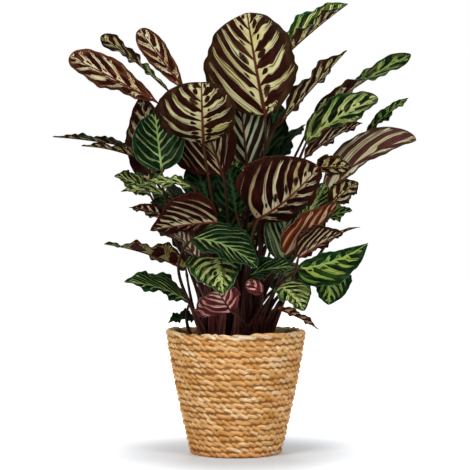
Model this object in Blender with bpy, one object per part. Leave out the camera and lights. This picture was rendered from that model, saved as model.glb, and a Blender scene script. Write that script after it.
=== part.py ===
"""A potted peacock plant: a coiled seagrass basket, the nursery pot inside it, its soil, and one solid for each leaf.

Metres, +Z up. The origin is the centre of the basket's flat underside, and the plant's front faces -Y.
Every leaf is one swept body: a stalk that stands in its own hole in the soil and widens into a waved blade.
"""

import math
import random
from typing import NamedTuple

import bmesh
import bpy
import numpy as np
from mathutils.bvhtree import BVHTree
from mathutils.geometry import convex_hull_2d

MM = 0.001

# Basket: rows of twisted rope, coiled one on the other
ROPE = 9.2
ROPE_ROWS = 22
BASKET_HEIGHT = ROPE * ROPE_ROWS
BASKET_RADIUS = 115.0
BASKET_TAPER = 40.0
BASKET_BULGE = 1.25
FOOT_RADIUS = 70.0
ROPE_DIP = 1.8
WALL = 9.0
FLOOR = 9.0
BASKET_SIDES = 30

# Nursery pot
SEAT_GAP = 0.3
POT_HEIGHT = 165.0
POT_RADIUS = 85.0
POT_FOOT_RADIUS = 62.0
POT_WALL = 1.4
POT_LIP = 3.0
POT_LIP_HEIGHT = 12.0
POT_SIDES = 28
DRAIN_RADIUS = 5.0
DRAIN_RING = 38.0
DRAIN_HOLES = 6

# Soil
SOIL_BELOW_LIP = 10.0
SOIL_EDGE = 4.0
STALK_DEPTH = 34.0
STALK_PLAY = 0.45

# Clump of stalks: a sunflower spiral of places to stand
CLUMP_CENTRE = (-3.0, 0.0)
CLUMP_SPACING = 7.4
CLUMP_PLACES = 76
GOLDEN_ANGLE = math.pi * (3 - math.sqrt(5))
STALK_FOOT_RADIUS = 3.6
STALK_TOP_RADIUS = 1.7
STALK_SIDES = 5
STALK_STEPS = (0.0, 0.35, 0.68, 0.96)
SHEATH_APART = 2.4

# Blade
BLADE_THICK = 1.1
RIB_ABOVE = 0.9
RIB_BELOW = 1.5
WAVES = 2.6
STATIONS = (0.04, 0.18, 0.36, 0.55, 0.74, 0.90)
ACROSS = (-1.0, -0.5, 0.0, 0.5, 1.0)

# The eye of the front view, from which the leaves' places are given
EYE_DISTANCE = 3000.0
EYE_HEIGHT = 420.0

# Room that each leaf keeps to its neighbours, and the moves that give it that room
CLEARANCE = 2.4
DEPTH_STEP = 7.0
DEPTH_STEPS = 11
STANDING_CHOICES = 5
SWAYS = (0.0, 1.0, -1.0)
SWAY = 26.0

PLAIN = (0.42, 0.5, 0.75)
ROUND = (0.42, 0.42, 0.6)
LONG_TIP = (0.34, 0.45, 1.1)


class Leaf(NamedTuple):
    """One leaf, in mm and degrees.

    base and tip are where the blade starts and ends: across and up as they show on the plane of the basket's axis,
    seen from the front, and the depth behind that plane. halves are the widths left and right of the midrib for
    someone who stands at the base, on the upper side, and looks at the tip. face is the way that the upper side
    looks. arch bows the midrib towards the upper side and bend to the right, as shares of the length. fold lifts
    both halves and cup curls them towards the upper side. twist turns the blade along its length, and wave is the
    height of the margin's waves. shape holds where the blade is widest, and how its base and its tip narrow: less
    is rounder. shares names the leaf out of whose sheath this one grows.
    """

    name: str
    base: tuple
    tip: tuple
    halves: tuple
    face: tuple
    shape: tuple = PLAIN
    arch: float = 0.06
    bend: float = 0.0
    fold: float = 10.0
    cup: float = 0.0
    twist: float = 0.0
    wave: float = 4.0
    shares: str = ""


LEAVES = [
    # the broad leaves in the middle, seen from below
    Leaf("leaf_mid_1", (48, 554, -84), (18, 722, -52), (68, 90), (0.05, 1, 0.12), (0.44, 0.5, 0.3), -0.12, 0, 4, 25),
    Leaf("leaf_mid_2", (-53, 508, -115), (-57, 609, -185), (55, 78), (0, 0.8, 0.6), (0.5, 0.32, 0.38), -0.12, 0, 4, 20),
    Leaf("leaf_mid_3", (36, 384, -110), (136, 471, -165), (42, 84), (-0.2, 0.88, 0.4), (0.42, 0.25, 0.5), -0.1, 0, 4,
         20),
    Leaf("leaf_mid_4", (-21, 457, -80), (-64, 590, -84), (40, 82), (0.2, 1, 0.2), (0.42, 0.65, 0.6), -0.05),
    Leaf("leaf_mid_5", (18, 475, -28), (3, 623, -24), (50, 54), (0, 1, 0.1), PLAIN, 0.02),
    Leaf("leaf_mid_6", (77, 315, -84), (84, 417, -62), (34, 34), (0, -1, 0.15), PLAIN, 0.03),
    Leaf("leaf_mid_7", (-13, 315, -50), (-13, 409, -42), (27, 27), (0, -1, 0.1), PLAIN, 0.03),
    Leaf("leaf_mid_8", (-43, 409, -48), (-71, 483, -36), (32, 32), (0, -1, 0.2), PLAIN, 0.04),
    Leaf("leaf_mid_9", (0, 393, -42), (-13, 475, -32), (36, 36), (0.2, -1, 0.2), PLAIN, 0.04),
    # left side
    Leaf("leaf_left_7", (-122, 464, -86), (-133, 559, -42), (43, 43), (0, -1, 0.35), ROUND, 0.03),
    Leaf("leaf_left_6", (-140, 445, -12), (-154, 588, 4), (36, 38), (0.1, 1, 0.1), PLAIN, 0.04),
    Leaf("leaf_left_1", (-62, 315, -85), (-108, 371, -90), (22, 24), (0.75, 0.55, 0.3), PLAIN, 0.05, 0, 14),
    Leaf("leaf_left_2", (-30, 379, -105), (-141, 365, -135), (52, 16), (0.1, 0.9, 0.4), (0.4, 0.4, 0.9), 0.05),
    Leaf("leaf_left_3", (-62, 385, -40), (-141, 411, -72), (26, 26), (0, -0.6, 0.75), PLAIN, 0.08),
    Leaf("leaf_left_4", (-105, 417, -60), (-189, 429, -84), (18, 20), (0, -0.45, 0.9), PLAIN, 0.1, 0, 14, 0, 0, 5),
    Leaf("leaf_left_5", (-141, 424, -42), (-200, 455, -66), (24, 26), (0, -0.6, 0.8), PLAIN, 0.08),
    Leaf("leaf_left_8", (-171, 503, -10), (-301, 519, -30), (15, 14), (0, -0.1, 1), PLAIN, 0.02, 0, 26, 0, 0, 4),
    Leaf("leaf_left_9", (-160, 485, -20), (-254, 504, -42), (15, 14), (0, 0.1, 1), PLAIN, 0.05, 0, 26, 0, 0, 4,
         "leaf_left_8"),
    Leaf("leaf_left_10", (-125, 573, -50), (-273, 651, -80), (30, 26), (0, 0.85, 0.5), (0.68, 1.1, 0.42), 0.03, 0, 8,
         0, 0, 5),
    Leaf("leaf_left_11", (-112, 596, -4), (-222, 683, 10), (20, 20), (0, -0.6, 0.8), (0.7, 0.8, 0.45), 0.04, 0, 14, 0,
         110, 5),
    Leaf("leaf_left_12", (-87, 600, -28), (-159, 695, -50), (20, 20), (-0.3, 0.9, 0.4), (0.7, 0.7, 0.42), 0.02, 0, 8,
         0, 0, 5),
    Leaf("leaf_left_13", (-51, 430, -62), (-88, 440, -74), (10, 12), (0, 0.7, 0.6), PLAIN, 0.15, 0, 10, 40, 0, 3,
         "leaf_mid_9"),
    Leaf("leaf_left_14", (-72, 437, -45), (-158, 440, -70), (18, 18), (0, -0.5, 0.85), PLAIN, 0.08, 0, 12, 0, 0, 5),
    Leaf("leaf_left_15", (-108, 382, -52), (-176, 403, -84), (14, 16), (0.2, 0.8, 0.5), LONG_TIP, 0.1, 0, 10, 30, 0,
         3, "leaf_mid_8"),
    # low leaves, nearest the basket
    Leaf("leaf_low_1", (-33, 320, -105), (-21, 259, -185), (36, 54), (0, -0.5, 0.85), (0.38, 0.4, 0.9), 0.1),
    Leaf("leaf_low_2", (-71, 352, -150), (35, 304, -180), (44, 38), (0.25, -0.65, 0.7), PLAIN, 0.13),
    Leaf("leaf_low_3", (-8, 232, -105), (-32, 268, -165), (28, 50), (-0.39, 0.6, 0.7), ROUND, 0.03),
    Leaf("leaf_low_4", (-76, 246, -60), (-184, 281, -100), (22, 38), (0, -0.55, 0.85), PLAIN, 0.08, 0, 8, 0, 0, 5),
    Leaf("leaf_low_5", (72, 273, -130), (112, 233, -180), (34, 24), (0.1, -0.75, 0.7), PLAIN, 0.1, 0, 14),
    Leaf("leaf_low_6", (143, 312, -90), (152, 243, -112), (40, 36), (0.45, -0.85, 0.3), PLAIN, 0.12),
    Leaf("leaf_low_7", (102, 302, -135), (217, 345, -130), (18, 42), (-0.3, -0.75, 0.55), (0.27, 0.4, 0.95), 0.02,
         0.1, 8, 0, 35, 5),
    Leaf("leaf_low_8", (20, 290, -125), (97, 305, -150), (26, 26), (0, -0.6, 0.8), PLAIN, 0.08, 0, 12),
    Leaf("leaf_low_9", (-82, 301, -50), (-217, 343, -75), (38, 22), (0, 0.65, 0.75), PLAIN, 0.06, 0, 16, 0, -55, 6),
    Leaf("leaf_low_10", (-59, 217, -55), (-112, 213, -64), (16, 26), (0, -0.3, 1), PLAIN, 0.12),
    Leaf("leaf_low_11", (66, 238, -85), (136, 202, -110), (14, 12), (0.4, 0.5, 0.8), PLAIN, 0.05, 0, 20, 0, 0, 3),
    Leaf("leaf_low_12", (43, 262, -88), (18, 282, -112), (12, 13), (-0.3, 0.8, 0.5), ROUND, 0.05, 0, 10, 0, 0, 2,
         "leaf_low_3"),
    # right side
    Leaf("leaf_right_1", (102, 320, -150), (176, 361, -160), (14, 36), (-0.2, 0.75, 0.6), PLAIN, 0.05, 0, 16),
    Leaf("leaf_right_2", (82, 324, -125), (167, 412, -122), (14, 40), (-0.5, 0.75, 0.35), (0.32, 0.4, 0.8), -0.05),
    Leaf("leaf_right_3", (150, 345, -150), (204, 371, -170), (5, 5), (0, 0.5, 0.8), (0.2, 0.6, 1), 0.1, 0, 20, 60,
         0, 1, "leaf_right_1"),
    Leaf("leaf_right_4", (125, 374, -76), (191, 398, -92), (26, 22), (0, -0.6, 0.8), PLAIN, 0.06, 0, 14, 0, 0, 6),
    Leaf("leaf_right_5", (105, 376, -90), (148, 445, -86), (28, 32), (0.5, -0.8, 0.2), PLAIN, 0.05),
    Leaf("leaf_right_6", (156, 407, -108), (200, 445, -124), (20, 22), (-0.1, 0.8, 0.5), ROUND, 0.06),
    Leaf("leaf_right_7", (147, 419, -80), (296, 514, -98), (10, 40), (-0.1, 0.95, 0.2), (0.5, 0.65, 0.5), 0.05, 0.11,
         4, 0, 0, 5),
    Leaf("leaf_right_8", (133, 469, -106), (189, 471, -150), (18, 21), (0, 0.9, 0.4), ROUND, 0.0, 0, 8),
    Leaf("leaf_right_9", (215, 524, 5), (283, 583, 0), (12, 12), (-0.2, -0.7, 0.6), PLAIN, 0.05, 0, 24),
    Leaf("leaf_right_10", (113, 485, -90), (208, 542, -102), (17, 20), (-0.4, 0.5, 0.75), PLAIN, 0.05, 0, 20, 0, 0, 5),
    Leaf("leaf_right_11", (115, 509, -45), (233, 583, -60), (44, 38), (-0.2, -0.65, 0.75), (0.5, 0.42, 0.55), 0.06),
    Leaf("leaf_right_12", (130, 552, 10), (287, 654, 25), (25, 25), (0, 1, 0), (0.5, 0.42, 0.6), 0.0, 0.03, 12, 0, 185,
         5),
    Leaf("leaf_right_13", (64, 534, -20), (182, 661, -12), (28, 32), (-0.7, 0.35, 0.62), (0.5, 0.8, 0.8), 0.0, 0, 20,
         0, 0, 7),
    Leaf("leaf_right_14", (77, 650, 15), (184, 737, 5), (40, 34), (-0.61, -0.3, 0.72), PLAIN, 0.02, 0, 40, 0, 0, 6),
]

# Back leaves follow a rule: they climb behind the clump by golden steps to and fro, and get steeper with height.
# The last ones grow out of the sheaths of earlier ones on the same side.
BACK_LEAVES = 20
BACK_SHOOTS = 12
BACK_SEED = 11
BACK_DRAWS = 10
BACK_HEIGHTS = (250.0, 475.0)
BACK_SPREADS = (50.0, 76.0)
BACK_REACHES = (84.0, 62.0)
BACK_PITCHES = (8.0, 52.0)


def unit(vector):
    """The vector, or each row of an array of vectors, at length 1."""
    vector = np.asarray(vector, float)
    return vector / np.linalg.norm(vector, axis=-1, keepdims=True)


def seen(point, deeper=0.0):
    """The point that shows at (across, up) on the plane of the axis and lies at that depth, plus `deeper`, behind it."""
    across, up, depth = point
    depth += deeper
    grow = 1 + depth / EYE_DISTANCE
    return np.array([across * grow, depth, EYE_HEIGHT + (up - EYE_HEIGHT) * grow])


def unseen(point):
    """The reverse of seen: a place in space as (across, up, depth)."""
    grow = 1 + point[1] / EYE_DISTANCE
    return (point[0] / grow, EYE_HEIGHT + (point[2] - EYE_HEIGHT) / grow, point[1])


def back_leaf(name, aside, rise, rng, shares=""):
    """One leaf behind the clump: aside runs from -1 on its right to 1 on its left, rise from 0 low to 1 high."""
    def at(ends):
        return ends[0] + (ends[1] - ends[0]) * rise

    turn = math.radians(90 + at(BACK_SPREADS) * aside + rng.uniform(-5, 5))
    pitch = math.radians(at(BACK_PITCHES) + rng.uniform(-9, 9))
    out = np.array([math.cos(turn), math.sin(turn), 0.0])
    up = np.array([0.0, 0.0, 1.0])
    base = out * at(BACK_REACHES) + up * (at(BACK_HEIGHTS) + rng.uniform(-18, 18))
    tip = base + (out * math.cos(pitch) + up * math.sin(pitch)) * rng.uniform(112, 150)
    face = up * math.cos(pitch) - out * math.sin(pitch)
    half = rng.uniform(38, 52)
    return Leaf(name, unseen(base), unseen(tip), (half, half), tuple(face), PLAIN, rng.uniform(0.02, 0.12), 0,
                rng.uniform(4, 16), 0, rng.uniform(-20, 20), rng.uniform(3, 6), shares)


def back_leaves():
    """The leaves behind the clump, which the front view hides: for each leaf, draws to choose from."""
    rng = random.Random(BACK_SEED)
    wishes = []
    for i in range(BACK_LEAVES):
        aside, rise = 2 * (i * GOLDEN_ANGLE / math.tau % 1) - 1, i / (BACK_LEAVES - 1)
        sheath = f"leaf_back_{i - 7}" if i >= BACK_SHOOTS else ""
        name = f"{sheath}b" if sheath else f"leaf_back_{i + 1}"
        wishes.append([back_leaf(name, aside, rise, rng, sheath) for _ in range(BACK_DRAWS)])
    return wishes


def outline(t, shape):
    """Share of the half width at t along the midrib, from a narrow base over the widest place to the tip."""
    widest, base, tip = shape
    t = np.clip(np.asarray(t, float), 0, 1)
    near = np.sin(np.pi / 2 * np.clip(t / widest, 0, 1)) ** base
    far = np.cos(np.pi / 2 * np.clip((t - widest) / (1 - widest), 0, 1)) ** tip
    return np.where(t < widest, near, far)


class Blade:
    """The surface of one leaf's blade, as a function of t along the midrib and u across it, from -1 to 1."""

    def __init__(self, leaf, deeper=0.0):
        self.leaf = leaf
        self.base = seen(leaf.base, deeper)
        self.tip = seen(leaf.tip, deeper)
        chord = self.tip - self.base
        self.length = np.linalg.norm(chord)
        along = chord / self.length
        face = np.asarray(leaf.face, float)
        self.up = unit(face - face.dot(along) * along)
        right = np.cross(along, self.up)
        self.bow = (self.base + self.tip) / 2 + 2 * self.length * (leaf.arch * self.up + leaf.bend * right)
        self.phase = sum(map(ord, leaf.name)) * 0.7

    def spine(self, t):
        """Points of the midrib, a curve of the second degree from base to tip."""
        t = np.asarray(t, float)[:, None]
        return (1 - t) ** 2 * self.base + 2 * t * (1 - t) * self.bow + t**2 * self.tip

    def frames(self, t):
        """Along, across and upper-side directions of the midrib at each t."""
        t = np.asarray(t, float)[:, None]
        along = unit((1 - t) * (self.bow - self.base) + t * (self.tip - self.bow))
        flat = unit(self.up - (along @ self.up)[:, None] * along)
        side = np.cross(along, flat)
        turn = np.radians(self.leaf.twist) * t
        return along, side * np.cos(turn) - flat * np.sin(turn), flat * np.cos(turn) + side * np.sin(turn)

    def surface(self, t, u, lift):
        """Points at every t and u, lifted off the blade's mid surface by lift at each u.

        Each half is an arc in cross-section: it leaves the midrib at the fold's angle and turns by the cup's.
        """
        t, u = np.asarray(t, float), np.asarray(u, float)[None, :]
        _, side, up = (axis[:, None, :] for axis in self.frames(t))
        hand, far = np.sign(u), np.abs(u)
        fold = np.where(hand == 0, 0.0, math.radians(self.leaf.fold))
        cup = math.radians(self.leaf.cup) + 1e-6
        half = np.where(u < 0, self.leaf.halves[0], self.leaf.halves[1]) * outline(t, self.leaf.shape)[:, None]
        reach, rise = half * np.sin(cup * far) / cup, half * (1 - np.cos(cup * far)) / cup
        calm = np.sin(np.pi * np.clip(t, 0, 1))[:, None] ** 0.6
        swell = np.sin(2 * np.pi * WAVES * t[:, None] + self.phase + 1.1 * hand)
        off = self.leaf.wave * calm * swell * far**2 + np.asarray(lift)[None, :]
        lean = fold + cup * far
        out = reach * np.cos(fold) - rise * np.sin(fold) - off * np.sin(lean)
        over = reach * np.sin(fold) + rise * np.cos(fold) + off * np.cos(lean)
        return self.spine(t)[:, None, :] + side * (hand * out)[:, :, None] + up * over[:, :, None]

    def rings(self, room=0.0):
        """Closed loops of ten points round the blade at each station, upper side first, and the tip."""
        u = np.array(ACROSS)
        half = BLADE_THICK / 2 + room
        above = np.where(u == 0, half + RIB_ABOVE - BLADE_THICK / 2, half)
        below = np.where(u == 0, half + RIB_BELOW - BLADE_THICK / 2, half)
        upper = self.surface(STATIONS, u, above)
        under = self.surface(STATIONS, u, -below)
        return np.concatenate([upper, under[:, ::-1]], axis=1), self.tip + self.frames([1.0])[0][0] * room


class Stalk:
    """The stalk of one leaf: straight up out of the soil, then a free curve that turns into the midrib."""

    def __init__(self, blade, stand, sway, soil_top):
        along, side, up = blade.frames([0.0])
        self.side = side[0]
        foot = np.array([stand[0], stand[1], soil_top])
        rise = blade.base - foot
        arrive = unit(along[0] + 0.9 * unit(rise) + np.array([0, 0, 0.35]))
        reach = np.linalg.norm(rise)
        across = unit(np.cross(rise, [0.0, 0.0, 1.0]) + 1e-6)
        lean = across * sway * SWAY
        self.points = [foot, foot + [0, 0, 0.42 * reach] + lean, blade.base - arrive * 0.32 * reach + lean, blade.base]

    def centre(self, s):
        """Points of the stalk's centre line at each s, from the soil to the blade."""
        s = np.asarray(s, float)[:, None]
        a, b, c, d = self.points
        return (1 - s) ** 3 * a + 3 * s * (1 - s) ** 2 * b + 3 * s**2 * (1 - s) * c + s**3 * d

    def rings(self, room=0.0):
        """Loops of STALK_SIDES points from the bottom of the stalk's hole to the blade, none twisted on the next."""
        centres = self.centre(STALK_STEPS)
        centres = np.vstack([centres[0] - [0, 0, STALK_DEPTH], centres])
        heading = unit(np.gradient(centres, axis=0))
        heading[:2] = (0, 0, 1)
        radii = np.linspace(STALK_FOOT_RADIUS, STALK_TOP_RADIUS, len(centres)) + room
        radii[0] = radii[1]
        angles = np.pi - 2 * np.pi * np.arange(STALK_SIDES) / STALK_SIDES
        side, loops = self.side, []
        for centre, ahead, radius in list(zip(centres, heading, radii))[::-1]:
            side = unit(side - side.dot(ahead) * ahead)
            up = np.cross(side, ahead)
            loops.append(centre + radius * (np.cos(angles)[:, None] * side + np.sin(angles)[:, None] * up))
        return np.array(loops[::-1])


# The stalk's corner that each of the blade's ten ring points joins
RING_TO_STALK = (0, 1, 1, 1, 2, 2, 3, 3, 4, 0)


def leaf_mesh(leaf, deeper, stand, sway, soil_top, room=0.0):
    """Points and triangles of a leaf as one closed body."""
    blade = Blade(leaf, deeper)
    stalk_rings = Stalk(blade, stand, sway, soil_top).rings(room)
    blade_rings, tip = blade.rings(room)
    ring, stations = blade_rings.shape[1], blade_rings.shape[0]
    points = np.vstack([stalk_rings.reshape(-1, 3), blade_rings.reshape(-1, 3), tip])
    faces = [(0, i + 1, i) for i in range(1, STALK_SIDES - 1)]
    for k in range(len(stalk_rings) - 1):
        faces += band(k * STALK_SIDES, (k + 1) * STALK_SIDES, STALK_SIDES)
    last = (len(stalk_rings) - 1) * STALK_SIDES
    first = len(stalk_rings) * STALK_SIDES
    for i in range(ring):
        j = (i + 1) % ring
        a, b = last + RING_TO_STALK[i], last + RING_TO_STALK[j]
        faces.append((a, first + j, first + i))
        if a != b:
            faces.append((a, b, first + j))
    for k in range(stations - 1):
        faces += blade_band(first + k * ring, first + (k + 1) * ring, ring)
    end = first + (stations - 1) * ring
    faces += [(end + i, end + (i + 1) % ring, len(points) - 1) for i in range(ring)]
    return points, faces


def band(low, high, count):
    """Triangles between two loops of `count` points."""
    faces = []
    for i in range(count):
        j = (i + 1) % count
        faces += [(low + i, low + j, high + j), (low + i, high + j, high + i)]
    return faces


def blade_band(low, high, count):
    """Triangles between two blade loops, split alike on the upper and the under side."""
    faces = []
    for i in range(count):
        j = (i + 1) % count
        if i < count // 2:
            faces += [(low + i, low + j, high + j), (low + i, high + j, high + i)]
        else:
            faces += [(low + i, low + j, high + i), (low + j, high + j, high + i)]
    return faces


def standing_places(count):
    """Where the stalks stand: a sunflower spiral round the clump's centre."""
    i = np.arange(count)
    radius, turn = CLUMP_SPACING * np.sqrt(i + 0.5), GOLDEN_ANGLE * i
    return np.stack([CLUMP_CENTRE[0] + radius * np.cos(turn), CLUMP_CENTRE[1] + radius * np.sin(turn)], axis=1)


def wanted_place(leaf):
    """Where a leaf would stand: on the side that its blade leans to, and nearer the middle the higher it is."""
    base = seen(leaf.base)
    height = np.clip((base[2] - 220) / 400, 0, 1)
    reach = CLUMP_SPACING * math.sqrt(CLUMP_PLACES) * (0.96 - 0.72 * height)
    return np.array(CLUMP_CENTRE) + unit(base[:2] - CLUMP_CENTRE + 1e-6) * reach


def depth_moves():
    """Moves in depth to try, the smallest first."""
    return [0.0] + [s * k * DEPTH_STEP for k in range(1, DEPTH_STEPS + 1) for s in (1, -1)]


class Placed(NamedTuple):
    """A leaf in its place: its points and triangles, where it stands, and trees of all of it and of its blade."""

    leaf: Leaf
    points: np.ndarray
    faces: list
    stand: np.ndarray
    whole: tuple
    blade: tuple


def tree_of(points, faces):
    """A search tree of the triangles, and the box round the points."""
    return BVHTree.FromPolygons(points.tolist(), faces), points.min(0), points.max(0)


def meets(one, other):
    """True if two trees touch."""
    (a, a_low, a_high), (b, b_low, b_high) = one, other
    return bool((a_low <= b_high).all() and (a_high >= b_low).all() and a.overlap(b))


def blade_only(points, faces):
    """The points and triangles of a leaf without those that belong to its stalk alone."""
    first = (len(STALK_STEPS) + 1) * STALK_SIDES
    return points[first:], [tuple(i - first for i in face) for face in faces if min(face) >= first]


def place(leaf, move, stand, sway, soil_top, room=0.0):
    """Shapes a leaf at one choice of depth, standing place and sway."""
    points, faces = leaf_mesh(leaf, move, stand, sway, soil_top, room)
    return Placed(leaf, points, faces, stand, tree_of(points, faces), tree_of(*blade_only(points, faces)))


def is_clear(trial, placed, others):
    """True if a leaf touches nothing, other than its own sheath's stalk."""
    if any(meets(trial.whole, other) for other in others):
        return False
    for old in placed:
        if trial.leaf.shares == old.leaf.name:
            if meets(trial.blade, old.whole) or meets(trial.whole, old.blade):
                return False
        elif meets(trial.whole, old.whole):
            return False
    return True


def settle(leaf, free, placed, soil_top, others):
    """Finds the nearest standing place, depth and sway at which a leaf is clear, or None.

    The picture of the plant from the front stays as it is, because a leaf moves only along the line of sight.
    """
    partner = next((old for old in placed if old.leaf.name == leaf.shares), None)
    if partner:
        towards = unit(seen(leaf.base)[:2] - partner.stand + 1e-6)
        stands = [partner.stand + SHEATH_APART * towards]
    else:
        wanted = wanted_place(leaf)
        stands = sorted(free, key=lambda spot: np.sum((spot - wanted) ** 2))[:STANDING_CHOICES]
    tries = [(abs(move) + 6 * rank + 4 * abs(sway), move, rank, sway)
             for rank in range(len(stands)) for move in depth_moves() for sway in SWAYS]
    for _, move, rank, sway in sorted(tries):
        if is_clear(place(leaf, move, stands[rank], sway, soil_top, CLEARANCE), placed, others):
            print(f"{leaf.name:15s} move {move:6.1f} stand {rank} sway {sway}")
            return place(leaf, move, stands[rank], sway, soil_top)
    return None


def arrange(wishes, soil_top, others):
    """Places the leaves one by one, each as the first of its draws that finds a clear place."""
    free = list(standing_places(CLUMP_PLACES))
    placed = []
    for draws in wishes:
        settled = None
        for leaf in draws:
            settled = settled or settle(leaf, free, placed, soil_top, others)
        if settled is None:
            raise ValueError(f"no clear place for {draws[0].name}")
        placed.append(settled)
        free = [spot for spot in free if spot is not settled.stand]
    return placed


def material(name, colour, roughness):
    """A plain finish: a colour, as linear RGB, and a roughness."""
    made = bpy.data.materials.new(name)
    made.use_nodes = True
    shader = made.node_tree.nodes["Principled BSDF"]
    shader.inputs["Base Color"].default_value = (*colour, 1)
    shader.inputs["Roughness"].default_value = roughness
    made.diffuse_color = (*colour, 1)
    return made


def add_object(name, mesh, finish):
    """Links a mesh to the scene as one named piece."""
    mesh.materials.append(finish)
    made = bpy.data.objects.new(name, mesh)
    bpy.context.scene.collection.objects.link(made)
    return made


def turned(name, profile, sides):
    """A mesh turned round the Z axis from a profile of (radius, height) in mm, both of whose ends are on the axis."""
    shape = bmesh.new()
    verts = [shape.verts.new((radius * MM, 0, height * MM)) for radius, height in profile]
    edges = [shape.edges.new(pair) for pair in zip(verts, verts[1:])]
    bmesh.ops.spin(shape, geom=verts + edges, axis=(0, 0, 1), cent=(0, 0, 0), steps=sides, angle=math.tau)
    bmesh.ops.remove_doubles(shape, verts=shape.verts, dist=1e-5)
    bmesh.ops.recalc_face_normals(shape, faces=shape.faces)
    mesh = bpy.data.meshes.new(name)
    shape.to_mesh(mesh)
    shape.free()
    return mesh


def basket_radius(height):
    """Outer radius of the basket at a height: a taper that bulges a little."""
    return BASKET_RADIUS - BASKET_TAPER * (1 - height / BASKET_HEIGHT) ** BASKET_BULGE


def make_basket(finish):
    """The basket, with a ridge for each row of rope outside and a plain wall inside."""
    profile = [(0, 0), (FOOT_RADIUS, 0)]
    for row in range(ROPE_ROWS):
        middle = (row + 0.5) * ROPE
        profile.append((basket_radius(middle), middle))
        if row < ROPE_ROWS - 1:
            profile.append((basket_radius(middle + ROPE / 2) - ROPE_DIP, middle + ROPE / 2))
    middle_of_rim = basket_radius(BASKET_HEIGHT) - WALL / 2
    profile += [(middle_of_rim, BASKET_HEIGHT), (basket_radius(BASKET_HEIGHT) - WALL, BASKET_HEIGHT - ROPE / 2)]
    profile += [(basket_radius(h) - WALL, h) for h in (0.6 * BASKET_HEIGHT, 0.25 * BASKET_HEIGHT, FLOOR)]
    profile.append((0, FLOOR))
    return add_object("basket", turned("basket", profile, BASKET_SIDES), finish)


def pot_radius(height):
    """Outer radius of the nursery pot's wall at a height above its own foot."""
    return POT_FOOT_RADIUS + (POT_RADIUS - POT_LIP - POT_FOOT_RADIUS) * height / POT_HEIGHT


def make_nursery_pot(finish):
    """The thin tapered pot inside the basket, with a stepped lip and drain holes."""
    foot = FLOOR + SEAT_GAP
    under_lip = POT_HEIGHT - POT_LIP_HEIGHT
    profile = [
        (0, foot),
        (POT_FOOT_RADIUS, foot),
        (pot_radius(under_lip), foot + under_lip),
        (POT_RADIUS, foot + under_lip),
        (POT_RADIUS, foot + POT_HEIGHT),
        (POT_RADIUS - POT_WALL, foot + POT_HEIGHT),
        (POT_RADIUS - POT_WALL, foot + under_lip + POT_WALL),
        (pot_radius(under_lip) - POT_WALL, foot + under_lip),
        (pot_radius(POT_WALL) - POT_WALL, foot + POT_WALL),
        (0, foot + POT_WALL),
    ]
    pot = add_object("nursery_pot", turned("nursery_pot", profile, POT_SIDES), finish)
    drills = bpy.data.collections.new("drills")
    for i in range(DRAIN_HOLES):
        turn = math.tau * i / DRAIN_HOLES
        place = (DRAIN_RING * MM * math.cos(turn), DRAIN_RING * MM * math.sin(turn), foot * MM)
        shape = bmesh.new()
        bmesh.ops.create_cone(shape, cap_ends=True, segments=8, radius1=DRAIN_RADIUS * MM,
                              radius2=DRAIN_RADIUS * MM, depth=6 * POT_WALL * MM)
        bmesh.ops.translate(shape, verts=shape.verts, vec=place)
        add_cutter(drills, f"drill_{i}", shape)
    combine(pot, drills, "DIFFERENCE")
    return pot


def add_cutter(collection, name, shape):
    """Turns a bmesh into a hidden cutting object."""
    bmesh.ops.recalc_face_normals(shape, faces=shape.faces)
    mesh = bpy.data.meshes.new(name)
    shape.to_mesh(mesh)
    shape.free()
    cutter = bpy.data.objects.new(name, mesh)
    cutter.hide_render = True
    cutter.display_type = "WIRE"
    collection.objects.link(cutter)


def combine(target, collection, operation):
    """Cuts every object of the collection out of the target, or joins them to it, and removes them."""
    bpy.context.scene.collection.children.link(collection)
    boolean = target.modifiers.new("combine", "BOOLEAN")
    boolean.operation = operation
    boolean.operand_type = "COLLECTION"
    boolean.collection = collection
    boolean.solver = "EXACT"
    graph = bpy.context.evaluated_depsgraph_get()
    mesh = bpy.data.meshes.new_from_object(target.evaluated_get(graph), depsgraph=graph)
    target.modifiers.clear()
    target.data = mesh
    for cutter in list(collection.objects):
        bpy.data.objects.remove(cutter)
    bpy.data.collections.remove(collection)


def shoots(placed):
    """The leaves in groups, each of one leaf and those that share its sheath."""
    return [[leaf] + [other for other in placed if other.leaf.shares == leaf.leaf.name]
            for leaf in placed if not leaf.leaf.shares]


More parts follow.
